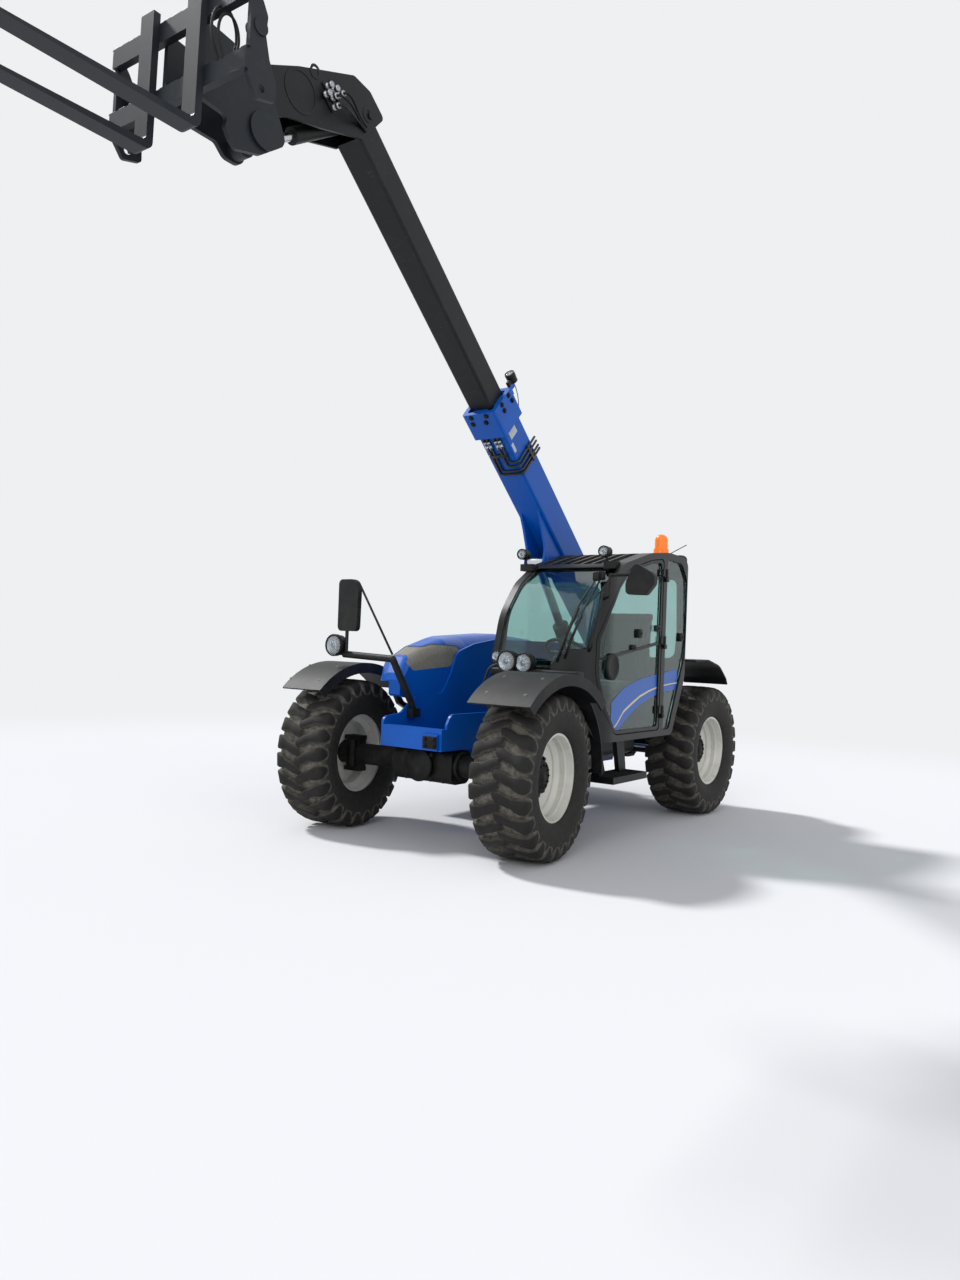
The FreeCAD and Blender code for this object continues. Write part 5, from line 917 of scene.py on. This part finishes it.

# ---------------------------------------------------------------------------------------------------------
# Nose and axles: a bolted coupling plate on the chassis's nose, and bolted covers on the front and rear axles.
piece("nose_plate", [(block_mesh((0.128, 0.013, 0.092), 0.003), Matrix.Translation((0.210, -0.2935, 0.800)))],
      AXLE_BLACK, "paint_black", "chassis")
cover = turned("cover", [(0.0, 0.0), (0.0, 0.128), (0.014, 0.128), (0.020, 0.118), (0.026, 0.080), (0.040, 0.060),
                         (0.040, 0.0)], 40)
flange = turned("flange", [(-0.016, 0.083), (-0.016, 0.112), (0.016, 0.112), (0.016, 0.083)], 40)
for name, axle, face in (("front", 0.0, -1), ("rear", WHEELBASE, 1)):
    turn_out = FACING_FRONT if face < 0 else FACING_REAR
    parts = [(cover, Matrix.Translation((0.0, axle + face * 0.146, AXLE_HEIGHT - 0.005)) @ turn_out)]
    for bolt, place_of in bolt_ring(0.008, 0.008, 0.110, 0.013, 10):
        parts.append((bolt, Matrix.Translation((0.0, axle + face * 0.146, AXLE_HEIGHT - 0.005)) @ turn_out @ place_of))
    for side in (-1, 1):
        parts.append((flange, Matrix.Translation((side * 0.309, axle, AXLE_HEIGHT))))
        for bolt, place_of in bolt_ring(0.007, 0.007, 0.099, 0.016, 10):
            parts.append((bolt, Matrix.Translation((side * 0.309, axle, AXLE_HEIGHT))
                          @ Matrix.Rotation(0 if side > 0 else math.pi, 4, "Z") @ place_of))
    piece("axle_covers_" + name, parts, AXLE_BLACK, "axle_black", "chassis")

# ---------------------------------------------------------------------------------------------------------
# Seat: cushion and back in black cloth over foam, each cut to the seat's box and inflated by a cloth run.
SEAT_CLOTH, tree = blank_material("woven_seat_cloth")
place = add(tree, "ShaderNodeTexCoord")
weave = add(tree, "ShaderNodeTexWave", {"Vector": place.outputs["Object"], "Scale": 120.0}, bands_direction="X")
cross = add(tree, "ShaderNodeTexWave", {"Vector": place.outputs["Object"], "Scale": 120.0}, bands_direction="Z")
both = add(tree, "ShaderNodeMath", {0: weave.outputs["Fac"], 1: cross.outputs["Fac"]}, operation="MULTIPLY")
bump = add(tree, "ShaderNodeBump", {"Height": both.outputs[0], "Strength": 0.4, "Distance": 0.0008})
shade = blend_colours(tree, patches(tree, 6.0, low=0.3, high=0.8), linear("#1b1c1f"), linear("#2b2c2f"))
shader = add(tree, "ShaderNodeBsdfPrincipled", {"Base Color": shade, "Roughness": 0.9, "Normal": bump.outputs[0],
                                                "Sheen Weight": 0.2})
add(tree, "ShaderNodeOutputMaterial", {"Surface": shader.outputs[0]})


def upholstered(node_name, shrink, voxel, cap, seams):
    """A seat pad swollen out of its CAD solid, with sewn seams: (axis, place, depth) across the pad."""
    shell = bmesh.new()
    shell.from_mesh(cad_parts[node_name].data)
    bmesh.ops.remove_doubles(shell, verts=shell.verts, dist=0.0002)
    low = Vector([min(v.co[k] for v in shell.verts) for k in range(3)])
    high = Vector([max(v.co[k] for v in shell.verts) for k in range(3)])
    middle = (low + high) / 2
    for vert in shell.verts:
        vert.co = middle + Vector([(vert.co[k] - middle[k]) * (1 - 2 * shrink / (high[k] - low[k])) for k in range(3)])
    bmesh.ops.recalc_face_normals(shell, faces=shell.faces)
    start = bpy.data.meshes.new(node_name + "_pad")
    shell.to_mesh(start)
    shell.free()
    pad = mesh_object(node_name + "_pad", start)
    remesh = pad.modifiers.new("remesh", "REMESH")
    remesh.mode = "VOXEL"
    remesh.voxel_size = voxel
    bpy.context.view_layer.update()
    pad.data = bpy.data.meshes.new_from_object(pad.evaluated_get(bpy.context.evaluated_depsgraph_get()))
    pad.modifiers.clear()
    rest = [v.co.copy() for v in pad.data.vertices]
    cloth = pad.modifiers.new("cloth", "CLOTH")
    cloth.settings.quality = 5
    cloth.settings.use_pressure = True
    cloth.settings.uniform_pressure_force = 4.0
    cloth.settings.effector_weights.gravity = 0.0
    cloth.collision_settings.use_collision = False
    for step in range(1, 21):
        bpy.context.scene.frame_set(step)
    swollen = pad.evaluated_get(bpy.context.evaluated_depsgraph_get()).to_mesh()
    moved = [v.co.copy() for v in swollen.vertices]
    pad.evaluated_get(bpy.context.evaluated_depsgraph_get()).to_mesh_clear()
    pad.modifiers.clear()
    bpy.context.scene.frame_set(1)
    for vert, was, now in zip(pad.data.vertices, rest, moved):
        step = now - was
        if step.length > cap:
            step = step * (cap / step.length)
        place = was + step
        vert.co = Vector([min(max(place[k], low[k] + 0.001), high[k] - 0.001) for k in range(3)])
    split = pad.modifiers.new("split", "SUBSURF")
    split.levels = 1
    split.render_levels = 1
    bpy.context.view_layer.update()
    pad.data = bpy.data.meshes.new_from_object(pad.evaluated_get(bpy.context.evaluated_depsgraph_get()))
    pad.modifiers.clear()
    pad.data.update()
    normals = [v.normal.copy() for v in pad.data.vertices]
    for vert, normal in zip(pad.data.vertices, normals):
        sink = 0.0
        for axis, spot, depth in seams:
            away = (vert.co[axis] - spot) / 0.007
            sink = max(sink, depth * math.exp(-away * away))
        vert.co -= normal * sink
    pad.data.materials.append(SEAT_CLOTH)
    pad.data.shade_smooth()
    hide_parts(node_name)
    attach(pad, "chassis")


SEAT_X = 0.670 + CENTRELINE_X
upholstered("seat_cushion", 0.012, 0.009, 0.022, [(0, SEAT_X - 0.135, 0.005), (0, SEAT_X + 0.135, 0.005)])
upholstered("seat_back", 0.010, 0.009, 0.020, [(0, SEAT_X - 0.130, 0.005), (0, SEAT_X + 0.130, 0.005),
                                                     (2, 1.560, 0.005)])
